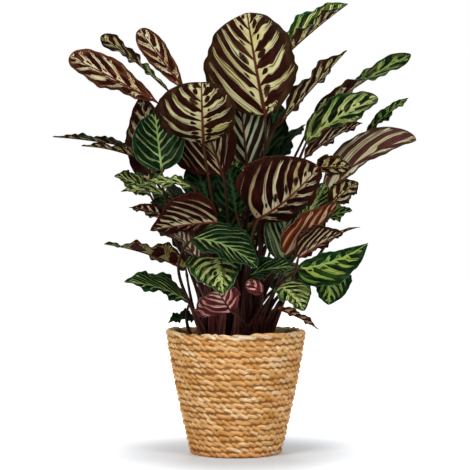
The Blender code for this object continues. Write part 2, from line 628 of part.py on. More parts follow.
def make_soil(placed, soil_top, finish):
    """The soil that fills the nursery pot, with a plain hole for each stalk."""
    bottom = FLOOR + SEAT_GAP + POT_WALL + SEAT_GAP
    foot = FLOOR + SEAT_GAP
    inner = POT_WALL + SEAT_GAP
    profile = [
        (0, bottom),
        (pot_radius(bottom - foot) - inner, bottom),
        (pot_radius(soil_top - SOIL_EDGE - foot) - inner, soil_top - SOIL_EDGE),
        (pot_radius(soil_top - foot) - inner - SOIL_EDGE, soil_top),
        (0, soil_top),
    ]
    soil = add_object("potting_soil", turned("potting_soil", profile, POT_SIDES), finish)
    holes = bpy.data.collections.new("stalk_holes")
    for shoot in shoots(placed):
        feet = np.vstack([leaf.points[:STALK_SIDES] for leaf in shoot])
        edge = feet[convex_hull_2d(feet[:, :2].tolist())]
        centre = edge.mean(0)
        away = np.linalg.norm(edge - centre, axis=1, keepdims=True)
        edge = centre + (edge - centre) * (1 + 1.25 * STALK_PLAY / away)
        low, high = feet[:, 2].min() - STALK_PLAY, soil_top + 5
        shape = bmesh.new()
        bottom_ring = [shape.verts.new((x * MM, y * MM, low * MM)) for x, y, _ in edge]
        top_ring = [shape.verts.new((x * MM, y * MM, high * MM)) for x, y, _ in edge]
        shape.faces.new(bottom_ring)
        shape.faces.new(top_ring)
        for i in range(len(edge)):
            j = (i + 1) % len(edge)
            shape.faces.new((bottom_ring[i], bottom_ring[j], top_ring[j], top_ring[i]))
        add_cutter(holes, f"hole_{shoot[0].leaf.name}", shape)
    combine(soil, holes, "DIFFERENCE")
    return soil


def leaf_object(leaf, collection):
    """Links one leaf's own mesh to a collection."""
    mesh = bpy.data.meshes.new(leaf.leaf.name)
    mesh.from_pydata((leaf.points * MM).tolist(), [], leaf.faces)
    made = bpy.data.objects.new(leaf.leaf.name, mesh)
    collection.objects.link(made)
    return made


def make_shoot(shoot, finish):
    """One shoot as a smooth-shaded piece: a leaf, joined with those that share its sheath."""
    made = leaf_object(shoot[0], bpy.context.scene.collection)
    if len(shoot) > 1:
        others = bpy.data.collections.new("sheath")
        for leaf in shoot[1:]:
            leaf_object(leaf, others)
        combine(made, others, "UNION")
    made.data.materials.clear()
    made.data.materials.append(finish)
    made.data.shade_smooth()
    return made


def solid_of(piece):
    """A tree of a piece's faces in mm, and its box, for the leaves to keep clear of."""
    points = np.array([tuple(v.co) for v in piece.data.vertices]) / MM
    faces = [tuple(p.vertices) for p in piece.data.polygons]
    return tree_of(points, faces)


def main():
    """Clears the scene and builds the basket, the pot, the leaves and then the soil round their stalks."""
    for old in list(bpy.data.objects):
        bpy.data.objects.remove(old)
    straw = material("seagrass", (0.45, 0.24, 0.09), 0.75)
    plastic = material("black_plastic", (0.012, 0.012, 0.013), 0.5)
    earth = material("potting_soil", (0.02, 0.012, 0.007), 0.95)
    leaf_green = material("leaf", (0.06, 0.13, 0.03), 0.45)
    basket = make_basket(straw)
    pot = make_nursery_pot(plastic)
    soil_top = FLOOR + SEAT_GAP + POT_HEIGHT - SOIL_BELOW_LIP
    wishes = [[leaf] for leaf in LEAVES] + back_leaves()
    placed = arrange(wishes, soil_top, [solid_of(basket), solid_of(pot)])
    make_soil(placed, soil_top, earth)
    for shoot in shoots(placed):
        make_shoot(shoot, leaf_green)


main()
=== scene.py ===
"""Dresses the potted peacock plant: waved and patterned leaves, a twisted seagrass basket, its pot and its soil.

Sizes in the classes are millimetres and the meshes are metres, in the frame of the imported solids. Every leaf is
worked out again from the same values as its solid, only finer, and stands where its solid stands.
"""

import logging
import math
import random
from collections.abc import Callable, Sequence
from dataclasses import dataclass
from enum import Enum
from functools import partial

import bpy
import numpy as np
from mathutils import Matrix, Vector


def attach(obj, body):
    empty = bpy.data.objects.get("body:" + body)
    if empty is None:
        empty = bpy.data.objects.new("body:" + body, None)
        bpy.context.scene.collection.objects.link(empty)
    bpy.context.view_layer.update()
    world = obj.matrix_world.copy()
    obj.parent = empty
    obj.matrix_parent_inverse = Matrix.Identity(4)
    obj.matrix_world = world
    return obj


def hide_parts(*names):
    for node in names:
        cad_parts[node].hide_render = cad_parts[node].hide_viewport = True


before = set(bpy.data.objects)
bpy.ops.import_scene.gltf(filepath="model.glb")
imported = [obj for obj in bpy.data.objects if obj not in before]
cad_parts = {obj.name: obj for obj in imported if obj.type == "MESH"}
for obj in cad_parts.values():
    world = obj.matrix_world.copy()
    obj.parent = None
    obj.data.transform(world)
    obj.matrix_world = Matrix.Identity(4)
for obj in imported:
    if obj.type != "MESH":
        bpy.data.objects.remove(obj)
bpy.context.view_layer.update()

MM = 0.001
LOG = logging.getLogger("potted_plant")
GOLDEN_ANGLE = math.pi * (3 - math.sqrt(5))

# In mm: the middle of the clump of stalks, the height of the soil, and the place of a surface where there is none
CLUMP = (-3.0, 0.0)
SOIL_TOP = 164.3
NOTHING = -9.0

Array = np.ndarray
Point = tuple[float, float, float]


# ---------------------------------------------------------------------------------------------------------------
# Meshes


class Ends(Enum):
    """How a grid of points is shut where its rows begin and end."""

    POLES = "the first and the last row each run to one point"
    PINCHED = "column against column, as a blade does"
    RING = "the last row meets the first"


@dataclass
class Shell:
    """One closed surface: a grid of points whose columns close round.

    Attributes:
        points: rows x columns x 3, in mm.
        marks: For each attribute that a finish reads, rows x columns x 3 values.
        slots: The material slot of each column's faces.
        ends: How the first and the last row are shut.
        poles: The two points that they run to, if those aren't their middles.
    """

    points: Array
    marks: dict[str, Array]
    slots: Array
    ends: Ends = Ends.POLES
    poles: Array | None = None

    def faces(self) -> tuple[list[Array], list[Array]]:
        """Works out the faces from the grid's numbering.

        Returns:
            Arrays of corners, one array for each kind of face, and the slot of each face in each array.
        """
        rows, columns = self.points.shape[:2]
        steps, last = rows - (self.ends is not Ends.RING), (rows - 1) * columns
        row, column = np.meshgrid(np.arange(steps), np.arange(columns), indexing="ij")
        row_after, after = (row + 1) % rows, (column + 1) % columns
        quads = np.stack([row * columns + column, row * columns + after, row_after * columns + after,
                          row_after * columns + column], axis=-1).reshape(-1, 4)
        found, kinds = [quads], [np.broadcast_to(self.slots, (steps, columns)).reshape(-1)]
        if self.ends is Ends.PINCHED:
            upper = np.arange(columns // 2 - 1)
            lower = columns - 1 - upper
            for first, turn in ((0, 1), (last, -1)):
                found.append((first + np.stack([upper, lower, lower - 1, upper + 1], axis=-1))[:, ::turn])
                kinds.append(np.full(len(upper), self.slots[0]))
        elif self.ends is Ends.POLES:
            around = np.arange(columns)
            for first, pole, turn in ((0, rows * columns, 1), (last, rows * columns + 1, -1)):
                fan = np.stack([first + (around + 1) % columns, first + around, np.full(columns, pole)], axis=-1)
                found.append(fan[:, ::turn])
                kinds.append(self.slots)
        return found, kinds

    def corners(self) -> tuple[Array, dict[str, Array]]:
        """All points and marks as flat lists, with the poles last where there are any."""
        flat = self.points.reshape(-1, 3)
        if self.ends is not Ends.POLES:
            return flat, {name: values.reshape(-1, 3) for name, values in self.marks.items()}
        poles = [self.points[0].mean(0), self.points[-1].mean(0)] if self.poles is None else self.poles
        return np.vstack([flat, *poles]), {
            name: np.vstack([values.reshape(-1, 3), values[0].mean(0), values[-1].mean(0)])
            for name, values in self.marks.items()}


def signed_volume(points: Array, faces: list[Array]) -> float:
    """Six times the volume inside the faces: the sum of a . (b x c) over their triangles, negative if turned in."""
    total = 0.0
    for array in faces:
        for k in range(1, array.shape[1] - 1):
            a, b, c = points[array[:, 0]], points[array[:, k]], points[array[:, k + 1]]
            total += float(np.einsum("ij,ij->", a, np.cross(b, c)))
    return total


def make_piece(name: str, shells: list[Shell], finishes: list[bpy.types.Material]) -> bpy.types.Object:
    """Puts closed surfaces into one mesh, facing outwards, smooth, at the origin.

    Args:
        name: The piece's name.
        shells: Its surfaces, in mm.
        finishes: Its materials, in the order of the shells' slots.

    Returns:
        The linked object.
    """
    points, faces, slots, marks, first = [], [], [], {}, 0
    for shell in shells:
        corners, values = shell.corners()
        found, kinds = shell.faces()
        if signed_volume(corners - corners.mean(0), found) < 0:
            found = [array[:, ::-1] for array in found]
        points.append(corners)
        faces += [array + first for array in found]
        slots += kinds
        for key in values:
            marks.setdefault(key, np.zeros((first, 3)))
        for key in marks:
            marks[key] = np.vstack([marks[key], values.get(key, np.zeros_like(corners))])
        first += len(corners)
    mesh = bpy.data.meshes.new(name)
    fill_mesh(mesh, np.vstack(points) * MM, faces, np.concatenate(slots))
    for key, value in marks.items():
        mesh.attributes.new(key, "FLOAT_VECTOR", "POINT").data.foreach_set("vector", value.astype(np.float32).ravel())
    for finish in finishes:
        mesh.materials.append(finish)
    piece = bpy.data.objects.new(name, mesh)
    bpy.context.scene.collection.objects.link(piece)
    LOG.info("%s: %d faces", name, len(mesh.polygons))
    return piece


def fill_mesh(mesh: bpy.types.Mesh, points: Array, faces: list[Array], slots: Array) -> None:
    """Writes points and faces into an empty mesh as whole arrays.

    Args:
        mesh: The mesh.
        points: n x 3, in metres.
        faces: Arrays of corners, one for each kind of face.
        slots: The material slot of each face, in the order of the faces.
    """
    sizes = np.concatenate([np.full(len(array), array.shape[1]) for array in faces])
    mesh.vertices.add(len(points))
    mesh.vertices.foreach_set("co", points.astype(np.float32).ravel())
    mesh.loops.add(int(sizes.sum()))
    mesh.loops.foreach_set("vertex_index", np.concatenate([array.ravel() for array in faces]).astype(np.int32))
    mesh.polygons.add(len(sizes))
    mesh.polygons.foreach_set("loop_start", (np.cumsum(sizes) - sizes).astype(np.int32))
    mesh.polygons.foreach_set("material_index", slots.astype(np.int32))
    mesh.polygons.foreach_set("use_smooth", np.ones(len(sizes), bool))
    mesh.update(calc_edges=True)
    mesh.validate()


def unit(vector: Array) -> Array:
    """The vector, or each row of an array of vectors, at length 1."""
    vector = np.asarray(vector, float)
    return vector / np.linalg.norm(vector, axis=-1, keepdims=True)


def smooth(low: float, high: float, value: Array) -> Array:
    """0 below low, 1 above high and a smooth step between them."""
    share = np.clip((np.asarray(value, float) - low) / (high - low), 0, 1)
    return share * share * (3 - 2 * share)


def circle(count: int) -> Array:
    """Angles of evenly spaced points round a circle."""
    return 2 * np.pi * np.arange(count) / count


def lathe(radius: Array, turn: Array, height: Array) -> Array:
    """Points at a radius and an angle round the Z axis and at a height, as one grid."""
    return np.stack(np.broadcast_arrays(radius * np.cos(turn), radius * np.sin(turn), height), axis=-1)


def draw(*keys: Array) -> Array:
    """A number from 0 to 1 for each set of whole-number keys: the fraction of a large sine of their sum."""
    total = sum(np.asarray(key, float) * weight for key, weight in zip(keys, (12.9898, 78.233, 37.719)))
    return np.mod(np.sin(total) * 43758.5453, 1.0)


# ---------------------------------------------------------------------------------------------------------------
# Finishes


def linear(colour: str) -> tuple[float, float, float, float]:
    """An sRGB hex colour such as "#A0B1C2" as linear RGBA."""
    parts = [int(colour[i:i + 2], 16) / 255 for i in (1, 3, 5)]
    return (*(c / 12.92 if c <= 0.04045 else ((c + 0.055) / 1.055) ** 2.4 for c in parts), 1.0)


def fill_inputs(node: bpy.types.Node, inputs: dict | Sequence) -> None:
    """Links or sets a node's inputs.

    Args:
        node: The node.
        inputs: What goes into each input, by its name or number, or as a list from the first input on: a node,
            whose first live output is linked, a socket, an sRGB hex colour, or a plain value.
    """
    for key, value in inputs.items() if isinstance(inputs, dict) else enumerate(inputs):
        if isinstance(value, bpy.types.Node):
            value = next(socket for socket in value.outputs if socket.enabled)
        if isinstance(value, bpy.types.NodeSocket):
            node.id_data.links.new(value, node.inputs[key])
        else:
            node.inputs[key].default_value = linear(value) if isinstance(value, str) else value


def add_node(tree: bpy.types.NodeTree, kind: str, inputs: dict | Sequence = (), **settings: object) -> bpy.types.Node:
    """Adds a shader node with its settings and links.

    Args:
        tree: The node tree.
        kind: The node's type without "ShaderNode", such as "Math".
        inputs: What goes into its inputs, as fill_inputs takes it.
        settings: Properties of the node, such as operation="ADD".

    Returns:
        The node.
    """
    node = tree.nodes.new("ShaderNode" + kind)
    for name, value in settings.items():
        setattr(node, name, value)
    fill_inputs(node, inputs)
    return node


def start_material(name: str) -> tuple[bpy.types.Material, Callable[..., bpy.types.Node], bpy.types.Node]:
    """A new material, add_node for its tree, and its Principled shader."""
    material = bpy.data.materials.new(name)
    material.use_nodes = True
    return material, partial(add_node, material.node_tree), material.node_tree.nodes["Principled BSDF"]


def set_ramp(node: bpy.types.Node, stops: tuple[tuple[float, str], ...]) -> bpy.types.Node:
    """Gives a Color Ramp its stops, as places from 0 to 1 and hex colours."""
    elements = node.color_ramp.elements
    while len(elements) < len(stops):
        elements.new(1.0)
    for element, (place, colour) in zip(elements, stops):
        element.position = place
        element.color = linear(colour)
    return node


@dataclass(frozen=True)
class LeafSide:
    """One side of a calathea leaf: living leaf, thinly waxed, with soft gloss and painted bands along its veins.

    Attributes:
        name: The material's name.
        pale: The ground between the bands, and pale_tip its shade in patches.
        dark: The bands and ovals, and dark_streak the fine veins in them.
        streak: Fine dark veins in the pale ground.
        margin: The broad edge, and margin_patch its other shade.
        edge: The very rim.
        rib: The midrib's line.
        flush: A warmer shade in patches, and flushed how much of it.
        band: Share of the spacing that a long band takes, and close how far its outer end closes, or widens below 0.
        oval: Size of the short marks by the midrib, as a share of the usual one.
        rim: Width of the margin in mm, and feather how far its streaks reach in.
        gloss: Roughness, and shine the wax's specular level.
        root: Share of its width that a long band has at the midrib.
        out: Where the short marks lie between the midrib and the margin.
    """

    name: str
    pale: str
    pale_tip: str
    dark: str
    dark_streak: str
    streak: str
    margin: str
    margin_patch: str
    edge: str
    rib: str
    flush: str
    flushed: float = 0.35
    band: float = 0.56
    close: float = 0.0
    oval: float = 1.0
    rim: float = 3.4
    feather: float = 7.0
    gloss: float = 0.42
    shine: float = 0.035
    root: float = 0.12
    out: float = 0.17

    def build(self) -> bpy.types.Material:
        """Makes the material.

        The veins attribute holds the count of bands from the base, the place across from -1 to 1, and a number for
        the leaf. The reach attribute holds mm from the midrib, the place along from 0 to 1, and mm to the margin,
        as on a leaf 80 mm wide. The tone attribute's x is the leaf's lightness, partly its own colour and partly
        painted light and shade for how lit or shaded it stands.
        Long bands lie where the count is near a whole number, and ovals between them near the midrib.
        """
        material, put, shader = start_material(self.name)
        veins, reach, tone = (put("Attribute", attribute_name=name).outputs["Vector"]
                              for name in ("veins", "reach", "tone"))
        count, across, leaf = put("SeparateXYZ", [veins]).outputs
        off, along, inward = put("SeparateXYZ", [reach]).outputs
        far = put("Math", [across], operation="ABSOLUTE")
        side = put("Math", [across, 0.0], operation="GREATER_THAN")
        drift, swell, patches = (
            put("TexNoise", {"Vector": put("VectorMath", [veins, scale], operation="MULTIPLY"), "Scale": 1.0,
                             "Detail": detail})
            for scale, detail in (((0.8, 1.7, 1.0), 2.0), ((1.3, 3.0, 2.0), 1.0), ((0.55, 1.4, 3.0), 3.0)))
        sway = put("MapRange", [drift, 0.3, 0.7, -0.2, 0.2])
        place = put("Math", [count, put("Math", [side, 0.42, sway], operation="MULTIPLY_ADD")], operation="ADD")
        between = put("Math", [put("Math", [place, 0.5], operation="PINGPONG"), 2.0], operation="MULTIPLY")

        # long bands: narrow at the midrib, widest half way out
        opening = put("MapRange", [far, 0.0, 0.2, self.root, 1.0])
        uneven = put("MapRange", [swell, 0.3, 0.7, -0.1, 0.1])
        opened = put("Math", [opening, self.band, uneven], operation="MULTIPLY_ADD")
        closing = put("MapRange", [far, 0.5, 0.9, 0.0, self.close], interpolation_type="SMOOTHSTEP")
        width = put("Math", [opened, closing], operation="SUBTRACT")
        long_band = put("MapRange", [put("Math", [between, width], operation="SUBTRACT"), -0.035, 0.035, 1.0, 0.0],
                        interpolation_type="SMOOTHSTEP")

        # short ovals on the pale ground, each of its own size
        cell = put("CombineXYZ", [put("Math", [place], operation="FLOOR"), side, leaf])
        chance = put("TexWhiteNoise", [cell], noise_dimensions="3D").outputs["Value"]
        size = put("MapRange", [chance, 0.0, 1.0, 0.35 * self.oval, 1.15 * self.oval])
        wide = put("Math", [put("Math", [1.0, between], operation="SUBTRACT"), 0.42], operation="DIVIDE")
        deep = put("Math", [put("Math", [far, self.out], operation="SUBTRACT"), 0.09], operation="DIVIDE")
        apart = put("VectorMath", [put("CombineXYZ", [wide, deep])], operation="LENGTH")
        oval = put("MapRange", [put("Math", [apart, size], operation="DIVIDE"), 0.88, 1.12, 1.0, 0.0],
                   interpolation_type="SMOOTHSTEP")
        marked = put("Math", [long_band, oval], operation="MAXIMUM")

        # fine veins that run along the bands, about seven to a band's spacing, stronger towards the margin
        lines = put("CombineXYZ", [put("Math", [place, 14.0], operation="MULTIPLY"),
                                   put("Math", [across, 1.3], operation="MULTIPLY"), leaf])
        fine = put("TexNoise", {"Vector": lines, "Scale": 1.0, "Detail": 2.0})
        outward = put("MapRange", [far, 0.1, 0.9, -0.02, 0.13])
        thread = put("MapRange", [put("Math", [fine, outward], operation="ADD"), 0.54, 0.62, 0.0, 0.9])
        patch = put("MapRange", [patches, 0.4, 0.65], interpolation_type="SMOOTHSTEP")
        bands = put("Mix", {0: put("MapRange", [fine, 0.42, 0.72, 0.0, 0.8]), 6: self.dark, 7: self.dark_streak},
                    data_type="RGBA")

        # the margin, whose inner side runs out in feathers along the veins, and patches of a warmer shade
        ragged = put("MapRange", [fine, 0.33, 0.67, -0.15 * self.feather, 0.85 * self.feather])
        border = put("Math", [ragged, self.rim], operation="ADD")
        margin = put("MapRange", [put("Math", [inward, border], operation="SUBTRACT"), -1.0, 1.0, 1.0, 0.0],
                     interpolation_type="SMOOTHSTEP")
        broad = put("Mix", {0: put("MapRange", [drift, 0.38, 0.62]), 6: self.margin, 7: self.margin_patch},
                    data_type="RGBA")
        flush = put("MapRange", [swell, 0.48, 0.72, 0.0, self.flushed], interpolation_type="SMOOTHSTEP")
        rim = put("MapRange", [inward, 0.25, 0.75, 0.85, 0.0])

        # the midrib thins out towards the tip
        thick = put("MapRange", [along, 0.0, 1.0, 1.7, 0.5])
        midrib = put("MapRange", [put("Math", [off, thick], operation="SUBTRACT"), -0.3, 0.4, 1.0, 0.0])
        colour = self.pale
        for share, paint in ((patch, self.pale_tip), (thread, self.streak), (marked, bands), (margin, broad),
                             (flush, self.flush), (rim, self.edge), (midrib, self.rib)):
            colour = put("Mix", {0: share, 6: colour, 7: paint}, data_type="RGBA")
        # painted light and shade: the leaf's tone lightens or darkens the whole leaf by how lit it stands, on top of
        # its random patches
        shade = put("Math", [put("MapRange", [patches, 0.3, 0.7, 0.82, 1.16]), put("SeparateXYZ", [tone])],
                    operation="MULTIPLY")

        # bands stand up a little between the veins: quilting of 0.4 mm with fine ribs on it
        quilt = put("Math", [between, 0.55, put("Math", [fine, 0.45], operation="MULTIPLY")],
                    operation="MULTIPLY_ADD")
        fill_inputs(shader, {
            "Base Color": put("HueSaturation", {"Value": shade, "Color": colour}),
            "Roughness": put("MapRange", [fine, 0.0, 1.0, self.gloss - 0.07, self.gloss + 0.09]),
            "Specular IOR Level": self.shine,
            "Normal": put("Bump", {"Strength": 0.55, "Distance": 0.0007, "Height": quilt})})
        return material


class Look(Enum):
    """The finishes of a leaf's two sides, by how they look on this plant."""

    GREEN = LeafSide("calathea_upper_green", "#818F4E", "#567C38", "#071106", "#0F1E0A", "#1B3A16", "#081A08",
                     "#102A0D", "#6B845A", "#78904C", "#8E984C", 0.25, 0.62, 0.15, 0.9, 3.6, 7.0, 0.4)
    BRIGHT = LeafSide("calathea_upper_bright", "#BEC47F", "#8AA355", "#091708", "#12240C", "#264C1A", "#0B240C",
                      "#173912", "#7C9466", "#96A660", "#A8AA5C", 0.25, 0.6, 0.1, 1.0, 3.8, 7.0, 0.4)
    VIVID = LeafSide("calathea_upper_vivid", "#90A247", "#698743", "#061306", "#0D220C", "#244616", "#071909",
                     "#0E2A10", "#4E7052", "#8CA450", "#4E7C30", 0.2, 0.58, -0.12, 0.8, 5.5, 8.0, 0.38)
    EMERALD = LeafSide("calathea_upper_emerald", "#687846", "#96A268", "#061106", "#0C200B", "#163817", "#081B08",
                       "#0E2A0E", "#587C52", "#7C9C58", "#2C5830", 0.2, 0.8, -0.05, 0.01, 3.0, 6.0, 0.38,
                       root=0.6)
    # painted shade: a darker copy of the green, for leaves that stand in shade
    SHADED_GREEN = LeafSide("calathea_upper_shaded_green", "#2A4622", "#1C3A1C", "#030802", "#071105", "#0D240E", "#040E04",
                    "#081906", "#375431", "#34482A", "#36562C", 0.3, 0.62, 0.1, 0.9, 3.8, 7.0, 0.42)
    SILVER = LeafSide("calathea_upper_silver", "#A2AC80", "#7E9462", "#091406", "#12220C", "#2A441E", "#0B1E0A",
                      "#162E10", "#829663", "#88986A", "#A0A880", 0.3, 0.6, 0.1, 0.6, 3.0, 7.0, 0.4)
    MAROON = LeafSide("calathea_under_maroon", "#CAC492", "#ABA268", "#1D0704", "#3A1209", "#45341A", "#211307",
                      "#301D0B", "#4A301C", "#521809", "#6E4230", 0.16, 0.55, -0.18, 1.15, 4.4, 12.0, 0.5, 0.03,
                      out=0.19)
    RUSSET = LeafSide("calathea_under_russet", "#C5BB94", "#908258", "#160403", "#280906", "#4A2216", "#1F0A05",
                      "#301008", "#4E2518", "#52170E", "#5C251C", 0.24, 0.66, -0.1, 0.9, 4.4, 12.0, 0.5, 0.03)
    CREAM = LeafSide("calathea_under_cream", "#D5CAA3", "#AD996C", "#240804", "#3C130A", "#5E3C24", "#3B1D0E",
                     "#512B16", "#6C4A34", "#5E2416", "#845040", 0.28, 0.62, -0.05, 0.9, 4.0, 10.0, 0.5, 0.03)
    ROSE = LeafSide("calathea_under_rose", "#C2C3A0", "#AEA67F", "#41231F", "#57342E", "#634C33", "#3E2A1C",
                    "#4D3823", "#533A2C", "#6A3A34", "#805054", 0.25, 0.58, 0.0, 0.01, 2.2, 5.0, 0.5, 0.03,
                    root=0.7)
    COPPER = LeafSide("calathea_under_copper", "#C2AC89", "#A08258", "#4E1808", "#6A270D", "#7E4828", "#3D1608",
                      "#4E200D", "#683C28", "#521A0E", "#844028", 0.35, 0.64, -0.05, 0.3, 3.0, 8.0, 0.5, 0.03,
                      root=0.5)
    SPOTTED = LeafSide("calathea_under_spotted", "#9F905A", "#7A7440", "#2A0C09", "#4C1F14", "#4A3A1C", "#2A1007",
                       "#3B190B", "#523420", "#4A180E", "#5E3222", 0.25, 0.62, 0.7, 0.01, 4.0, 5.0, 0.5, 0.03,
                       root=0.6)
    YOUNG = LeafSide("calathea_young_pink", "#F0C9BD", "#CE9081", "#4B1D1C", "#632925", "#7A3A3A", "#491918",
                     "#632827", "#985C60", "#682428", "#8E423E", 0.35, 0.66, 0.0, 0.01, 2.4, 8.0, 0.5, 0.04, root=0.5)
    ASHEN = LeafSide("calathea_under_ashen", "#B2BA98", "#929A78", "#190907", "#2C130C", "#505238", "#1E130C",
                     "#2C1B12", "#443628", "#44201A", "#604438", 0.2, 0.66, 0.0, 0.01, 3.0, 8.0, 0.5, 0.03, root=0.5)


@dataclass(frozen=True)
class StalkFinish:
    """Fleshy stalk: maroon at the foot, olive brown above, red brown again as the rib under the blade.

    It is smooth and a little glossy, with fine stripes along it.

    Attributes:
        name: The material's name.
        shades: The colours from the foot at 0 over the blade's base at 0.5 to its tip at 1.
        stripe: The stripes.
    """

    name: str = "calathea_stalk"
    shades: tuple = ((0.0, "#2A0E0D"), (0.14, "#381614"), (0.3, "#28130C"), (0.46, "#33260F"), (0.5, "#4A1C0C"),
                     (0.6, "#5A1F10"), (0.8, "#521A12"), (1.0, "#421611"))
    stripe: str = "#8A5048"

    def build(self) -> bpy.types.Material:
        """Makes the material. The stem attribute's x runs from 0 at the foot over 1 at the blade to 2 at the tip."""
        material, put, shader = start_material(self.name)
        along, turn, leaf = put("SeparateXYZ", [put("Attribute", attribute_name="stem").outputs["Vector"]]).outputs
        base = set_ramp(put("ValToRGB", [put("Math", [along, 0.5], operation="MULTIPLY")]), self.shades)
        lengthwise = put("CombineXYZ", [put("Math", [along, 2.0], operation="MULTIPLY"), turn, leaf])
        grain = put("TexNoise", {"Vector": lengthwise, "Scale": 2.2, "Detail": 3.0})
        tinted = put("Mix", {0: put("MapRange", [grain, 0.54, 0.7, 0.0, 0.6]), 6: base, 7: self.stripe},
                     data_type="RGBA")
        chance = put("TexWhiteNoise", {1: leaf}, noise_dimensions="1D").outputs["Value"]
        value = put("MapRange", [chance, 0.0, 1.0, 0.6, 1.25])
        fill_inputs(shader, {
            "Base Color": put("HueSaturation", {"Value": value, "Color": tinted}),
            "Roughness": put("MapRange", [grain, 0.0, 1.0, 0.34, 0.5]),
            "Specular IOR Level": 0.12,
            "Normal": put("Bump", {"Strength": 0.3, "Distance": 0.0004, "Height": grain})})
        return material


@dataclass(frozen=True)
class SeagrassFinish:
    """Dried seagrass, twisted by hand into rope: matt straw with fibres along each strand, and painted shade, dark
    brown, in the gaps between strands.

    Attributes:
        name: The material's name.
        shades: Straw, by a strand's number: loose, but raised on the rim and the inside as painted light.
        gap: Painted shade between the strands and where they meet, fibre the lines along them, foot the lowest rows.
        fibre_width: Width of a fibre in mm, and fibre_length its length.
    """

    name: str = "twisted_seagrass"
    shades: tuple = ((0.0, "#C88E4A"), (0.3, "#E0A866"), (0.62, "#EDBB7C"), (0.85, "#F4CE98"), (1.0, "#FBE4BE"))
    gap: str = "#62300A"
    fibre: str = "#B4763A"
    foot: str = "#C06A2A"
    fibre_width: float = 1.0
    fibre_length: float = 8.0

    def build(self) -> bpy.types.Material:
        """Makes the material.

        The rope attribute holds mm along and across the strand and a number for its shade, and the lie attribute how
        high the spot lies on its rope, from 0 in the gap to 1, the height as a share, and how far it is from where
        two strands meet.
        """
        material, put, shader = start_material(self.name)
        (along, across, tone), (crest, height, rift) = (
            put("SeparateXYZ", [put("Attribute", attribute_name=name).outputs["Vector"]]).outputs
            for name in ("rope", "lie"))
        spot = put("CombineXYZ", [put("Math", [value, scale], operation="MULTIPLY") for value, scale in (
            (along, 1 / self.fibre_length), (across, 1 / self.fibre_width), (tone, 90.0))])
        fibres = put("TexNoise", {"Vector": spot, "Scale": 0.8, "Detail": 3.0})
        blotch = put("TexNoise", {"Vector": put("TexCoord").outputs["Object"], "Scale": 45.0, "Detail": 2.0})
        mixed = put("Math", [tone, put("MapRange", [blotch, 0.3, 0.7, -0.2, 0.2])], operation="ADD")
        # painted shade: the gap colour darkens the straw where it lies low between the strands (deep) and where two
        # strands meet (seam)
        deep = put("MapRange", [crest, 0.0, 0.4, 0.7, 0.0], interpolation_type="SMOOTHSTEP")
        seam = put("MapRange", [rift, 0.05, 0.4, put("MapRange", [blotch, 0.4, 0.6, 0.25, 0.9]), 0.0])
        colour = set_ramp(put("ValToRGB", [mixed]), self.shades)
        for share, paint in ((put("MapRange", [fibres, 0.46, 0.68, 0.0, 0.75]), self.fibre),
                             (put("MapRange", [height, 0.0, 0.06, 0.75, 0.0]), self.foot),
                             (put("Math", [deep, seam], operation="MAXIMUM"), self.gap)):
            colour = put("Mix", {0: share, 6: colour, 7: paint}, data_type="RGBA")
        fill_inputs(shader, {"Base Color": colour, "Roughness": 0.68, "Specular IOR Level": 0.12,
                             "Normal": put("Bump", {"Strength": 0.7, "Distance": 0.0006, "Height": fibres})})
        return material


@dataclass(frozen=True)
class PlasticFinish:
    """Black polypropylene, thinly moulded: soft gloss, a fine grain, and dust that greys it in patches.

    Attributes:
        name: The material's name.
        colour: The clean plastic, and dust the patches.
    """

    name: str = "black_polypropylene"
    colour: str = "#121314"
    dust: str = "#2E2B27"

    def build(self) -> bpy.types.Material:
        """Makes the material. The grain is 0.8 mm and the dust's patches about 15 mm."""
        material, put, shader = start_material(self.name)
        spot = put("TexCoord").outputs["Object"]
        dust = put("TexNoise", {"Vector": spot, "Scale": 65.0, "Detail": 4.0})
        grain = put("TexNoise", {"Vector": spot, "Scale": 1200.0, "Detail": 1.0})
        share = put("MapRange", [dust, 0.45, 0.75, 0.0, 0.6])
        fill_inputs(shader, {
            "Base Color": put("Mix", {0: share, 6: self.colour, 7: self.dust}, data_type="RGBA"),
            "Roughness": put("MapRange", [dust, 0.0, 1.0, 0.35, 0.65]),
            "Normal": put("Bump", {"Strength": 0.2, "Distance": 0.0003, "Height": grain})})
        return material


@dataclass(frozen=True)
class SoilFinish:
    """Peaty potting soil: nearly black and quite matt, with brown fibres and crumbs.

    Attributes:
        name: The material's name.
        wet: The ground, crumb the crumbs' middles, and fibre the fibres.
    """

    name: str = "potting_soil"
    wet: str = "#17100B"
    crumb: str = "#3A2819"
    fibre: str = "#5A432B"

    def build(self) -> bpy.types.Material:
        """Makes the material. Crumbs are 2 to 4 mm and fibres 1 mm."""
        material, put, shader = start_material(self.name)
        spot = put("TexCoord").outputs["Object"]
        crumbs = put("TexVoronoi", {"Vector": spot, "Scale": 380.0})
        fine = put("TexNoise", {"Vector": spot, "Scale": 900.0, "Detail": 4.0})
        colour = self.crumb
        for share, paint in ((put("MapRange", [crumbs, 0.05, 0.55]), self.wet),
                             (put("MapRange", [fine, 0.58, 0.75, 0.0, 0.7]), self.fibre)):
            colour = put("Mix", {0: share, 6: colour, 7: paint}, data_type="RGBA")
        fill_inputs(shader, {"Base Color": colour, "Roughness": 0.95,
                             "Normal": put("Bump", {"Strength": 0.9, "Distance": 0.0012, "Height": fine})})
        return material


# ---------------------------------------------------------------------------------------------------------------
# Leaves

PLAIN = (0.42, 0.5, 0.75)
ROUND = (0.42, 0.42, 0.6)
LONG_TIP = (0.34, 0.45, 1.1)


